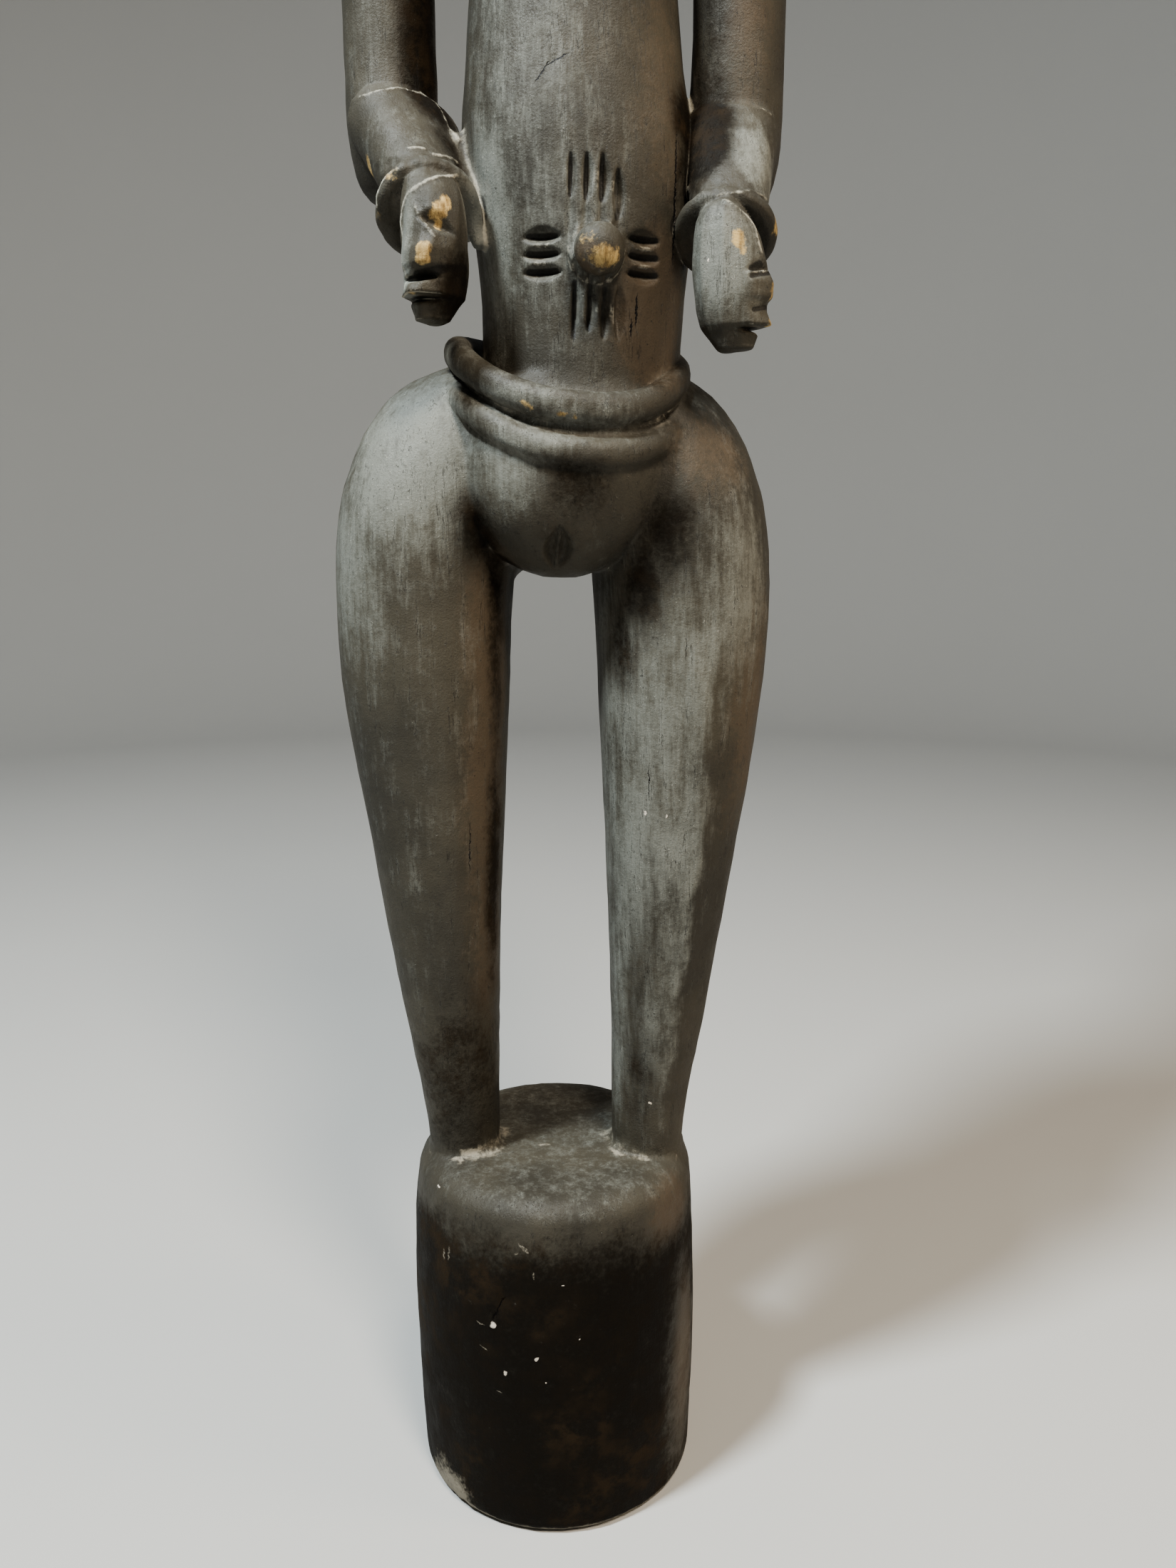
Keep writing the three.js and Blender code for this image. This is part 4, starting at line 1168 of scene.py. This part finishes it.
def wood_material():
    n = Nodes("patinated_wood")
    place = n.node("ShaderNodeTexCoord").outputs["Object"]
    names = ("hollow", "tight_shade", "edge", "raw", "dust_and_sheen", "brown_and_warm_light", "black_and_shadow", "dust", "wear_and_highlight")
    hollow, tight_shade, edge, raw, dust_and_sheen, brown_and_warm_light, black_and_shadow, dust, wear_and_highlight = (n.attribute(name) for name in names)
    broad = n.noise(place, 14, 4, 0.6)
    blotch = n.noise(place, 75, 6, 0.7)
    fine = n.noise(place, 430, 5, 0.7)
    dots = n.noise(place, 1150, 3, 0.6)
    grain = n.noise(n.stretched(place, (1, 1, 0.08)), 420, 5, 0.6)
    streak = n.noise(n.stretched(place, (1, 1, 0.13)), 250, 5, 0.7)

    def about(value, scale):
        return n.times(n.less(value, 0.5), scale)

    ragged = n.plus(about(blotch, 0.9), about(fine, 0.8))
    dust_and_sheen_level = n.plus(n.plus(dust_and_sheen, ragged), about(streak, 1.5))
    blacked = n.mask(n.plus(black_and_shadow, ragged), 0.1, 1, 0, 0.95)
    unblacked = n.less(1.0, blacked)
    rusty = n.times(n.mask(broad, 0.46, 0.62, 0.15, 1), n.mask(blotch, 0.42, 0.62))
    pits = n.mask(fine, 0.60, 0.72, 0, 0.8)
    line = n.mask(n.math("ABSOLUTE", n.less(grain, 0.5)), 0.014, 0.004)
    line = n.times(line, n.mask(streak, 0.5, 0.62, 0, 0.75))
    speck = n.times(n.mask(dots, 0.65, 0.73), n.mask(dust_and_sheen_level, 0.15, 0.9, 0.05, 0.7))
    speck = n.times(speck, unblacked)
    fleck = n.times(n.mask(n.plus(fine, about(dots, 0.5)), 0.71, 0.78), 0.6)
    dirt = n.times(n.mask(hollow, 0.3, 0.8), n.mask(blotch, 0.42, 0.7, 0, 0.4))
    rubbed = n.mask(n.plus(edge, about(fine, 0.9)), 0.28, 0.6, 0, 0.7)
    crested = n.plus(wear_and_highlight, n.plus(about(fine, 1.2), about(blotch, 1.2)))
    bare = n.mask(n.plus(raw, n.plus(about(fine, 1.1), about(blotch, 0.8))), 0.45, 0.85)

    wobble = n.node("ShaderNodeTexNoise")
    wobble.inputs["Scale"].default_value = 600
    n.feed(wobble.inputs["Vector"], place)
    shift = n.node("ShaderNodeVectorMath", operation="MULTIPLY_ADD")
    n.feed(shift.inputs[0], wobble.outputs["Color"])
    shift.inputs[1].default_value = (WOBBLE, WOBBLE, WOBBLE)
    n.feed(shift.inputs[2], n.shifted(place, -WOBBLE / 2))
    rough_place = shift.outputs["Vector"]
    chipped = n.times(marks(n, rough_place, WHITE_MARKS), 0.85)
    scratched = n.times(marks(n, rough_place, PALE_SCRATCHES), n.mask(dots, 0.4, 0.6, 0.1, 0.5))
    cracked = marks(n, rough_place, CRACKS)

    # The coats, each over those before it: its share and its colour. The grey coat is dust and painted
    # sheen, the brownish coat wood and painted warm light, the very dark coat patina and painted shadow,
    # the cut coat painted shade, and the crest coat wear and painted highlight.
    colour = n.mix(n.mask(broad, 0.35, 0.68), OLD_WOOD, OLD_WOOD_LIGHT)
    for share, coat in (
        (n.mask(n.plus(brown_and_warm_light, ragged), 0.2, 0.8, 0, 0.85), BROWN_WOOD_AND_WARM_LIGHT),
        (n.mask(dust_and_sheen_level, 0.1, 1.1, 0, 0.95), GREY_DUST_AND_SHEEN),
        (blacked, BLACK_CRUST_AND_SHADOW), (n.times(rusty, black_and_shadow), RUSTY_CRUST),
        (pits, PIT), (line, GRAIN_LINE), (speck, PALE_SPECK), (n.times(fleck, unblacked), PALE_FLECK),
        (n.times(dirt, unblacked), HOLLOW_DIRT), (n.mask(tight_shade, 0.5, 0.95, 0, 0.85), CUT_SHADE),
        (n.times(rubbed, unblacked), RUBBED_EDGE), (n.mask(crested, 0.3, 0.85, 0, 0.85), WORN_AND_HIGHLIT_CREST),
        (n.mask(n.plus(dust, ragged), 0.35, 0.8, 0, 0.8), CAUGHT_DUST),
        (bare, n.mix(n.mask(grain, 0.35, 0.6), BARE_WOOD_DARK, BARE_WOOD)),
        (chipped, FRESH_CHIP), (scratched, SCRATCH), (cracked, CRACK),
    ):
        colour = n.mix(share, colour, coat)

    shader = n.node("ShaderNodeBsdfPrincipled")
    n.feed(shader.inputs["Base Color"], colour)
    rough = n.mask(blotch, 0.3, 0.75, 0.50, 0.70)
    n.feed(shader.inputs["Roughness"], n.plus(rough, n.times(bare, 0.15)))
    n.feed(shader.inputs["Specular IOR Level"], n.mask(blacked, 0.0, 0.9, 0.24, 0.05))
    height = n.plus(n.times(grain, 0.35), n.times(fine, 0.4))
    for relief, share in ((dots, 0.35), (blotch, 0.8), (n.plus(pits, line), -0.25), (speck, 0.15)):
        height = n.plus(height, n.times(relief, share))
    height = n.less(height, cracked)
    bump = n.node("ShaderNodeBump")
    bump.inputs["Strength"].default_value = 0.6
    bump.inputs["Distance"].default_value = 0.0009
    n.feed(bump.inputs["Height"], height)
    n.feed(shader.inputs["Normal"], bump.outputs["Normal"])
    output = n.node("ShaderNodeOutputMaterial")
    n.feed(output.inputs["Surface"], shader.outputs["BSDF"])
    return n.material


def plain_material(name, colour, roughness):
    n = Nodes(name)
    shader = n.node("ShaderNodeBsdfPrincipled")
    place = n.node("ShaderNodeTexCoord").outputs["Object"]
    shade = n.noise(place, 3, 4)
    darker = tuple(0.97 * c for c in colour)
    n.feed(shader.inputs["Base Color"], n.mix(shade, colour, darker))
    shader.inputs["Roughness"].default_value = roughness
    output = n.node("ShaderNodeOutputMaterial")
    n.feed(output.inputs["Surface"], shader.outputs["BSDF"])
    return n.material


carving.data.materials.append(wood_material())


# Floor, light and camera: metres, millimetres of focal length and radians

FLOOR_COLOUR = (0.40, 0.393, 0.38)
CAMERA_PLACE = (0.0152, -0.543, 0.4674)
CAMERA_LENS = 27.0
CAMERA_TILT = math.radians(78)


def make_floor():
    """A round pale floor that sweeps up into a wall, far from the figure."""
    reach, cove, top, around = 3.2, 0.9, 3.4, 96
    profile = [(0.0, 0.0), (reach - cove, 0.0)]
    for i in range(1, 13):
        angle = math.radians(90 * i / 12)
        profile.append((reach - cove + cove * math.sin(angle), cove * (1 - math.cos(angle))))
    profile.append((reach, top))
    points = [(0.0, 0.0, 0.0)]
    for radius, height in profile[1:]:
        for k in range(around):
            angle = 2 * math.pi * k / around
            points.append((radius * math.cos(angle), radius * math.sin(angle), height))
    faces = [(0, 1 + k, 1 + (k + 1) % around) for k in range(around)]
    for ring in range(len(profile) - 2):
        first = 1 + ring * around
        for k in range(around):
            a, b = first + k, first + (k + 1) % around
            faces.append((a, a + around, b + around, b))
    mesh = bpy.data.meshes.new("floor")
    mesh.from_pydata(points, [], faces)
    mesh.shade_smooth()
    floor = bpy.data.objects.new("floor", mesh)
    bpy.context.scene.collection.objects.link(floor)
    mesh.materials.append(plain_material("pale_floor", FLOOR_COLOUR, 0.85))


def area_light(name, place, aim, size, power, colour):
    """A round lamp that points at the figure's axis, at the height of its aim."""
    light = bpy.data.lights.new(name, "AREA")
    light.shape = "DISK"
    light.size = size
    light.energy = power
    light.color = colour
    lamp = bpy.data.objects.new(name, light)
    lamp.location = place
    lamp.rotation_euler = (Vector((0, 0, aim)) - Vector(place)).to_track_quat("-Z", "Y").to_euler()
    bpy.context.scene.collection.objects.link(lamp)


def light_scene():
    """A cool key high on the left, a weaker warm light from the right, and a soft dome."""
    world = bpy.data.worlds.new("studio")
    world.use_nodes = True
    world.node_tree.nodes["Background"].inputs["Color"].default_value = (0.92, 0.95, 1.0, 1)
    world.node_tree.nodes["Background"].inputs["Strength"].default_value = 0.14
    bpy.context.scene.world = world
    bpy.context.scene.view_settings.look = "AgX - Medium High Contrast"
    area_light("key", (-0.78, -0.64, 2.05), 0.5, 0.3, 84, (0.87, 0.96, 1.0))
    area_light("front", (0.34, -0.95, 1.85), 0.5, 0.4, 36, (1.0, 0.90, 0.76))
    area_light("fill", (1.30, -0.34, 0.85), 0.45, 0.5, 8, (1.0, 0.80, 0.56))


def make_camera():
    """The photograph's viewpoint: low and close, looking down at the legs."""
    camera = bpy.data.cameras.new("camera")
    camera.lens = CAMERA_LENS
    camera.sensor_width = 36.0
    camera.sensor_fit = "AUTO"
    camera.clip_start = 0.01
    eye = bpy.data.objects.new("camera", camera)
    eye.location = CAMERA_PLACE
    eye.rotation_euler = (CAMERA_TILT, 0, 0)
    bpy.context.scene.collection.objects.link(eye)
    bpy.context.scene.camera = eye


make_floor()
light_scene()
make_camera()
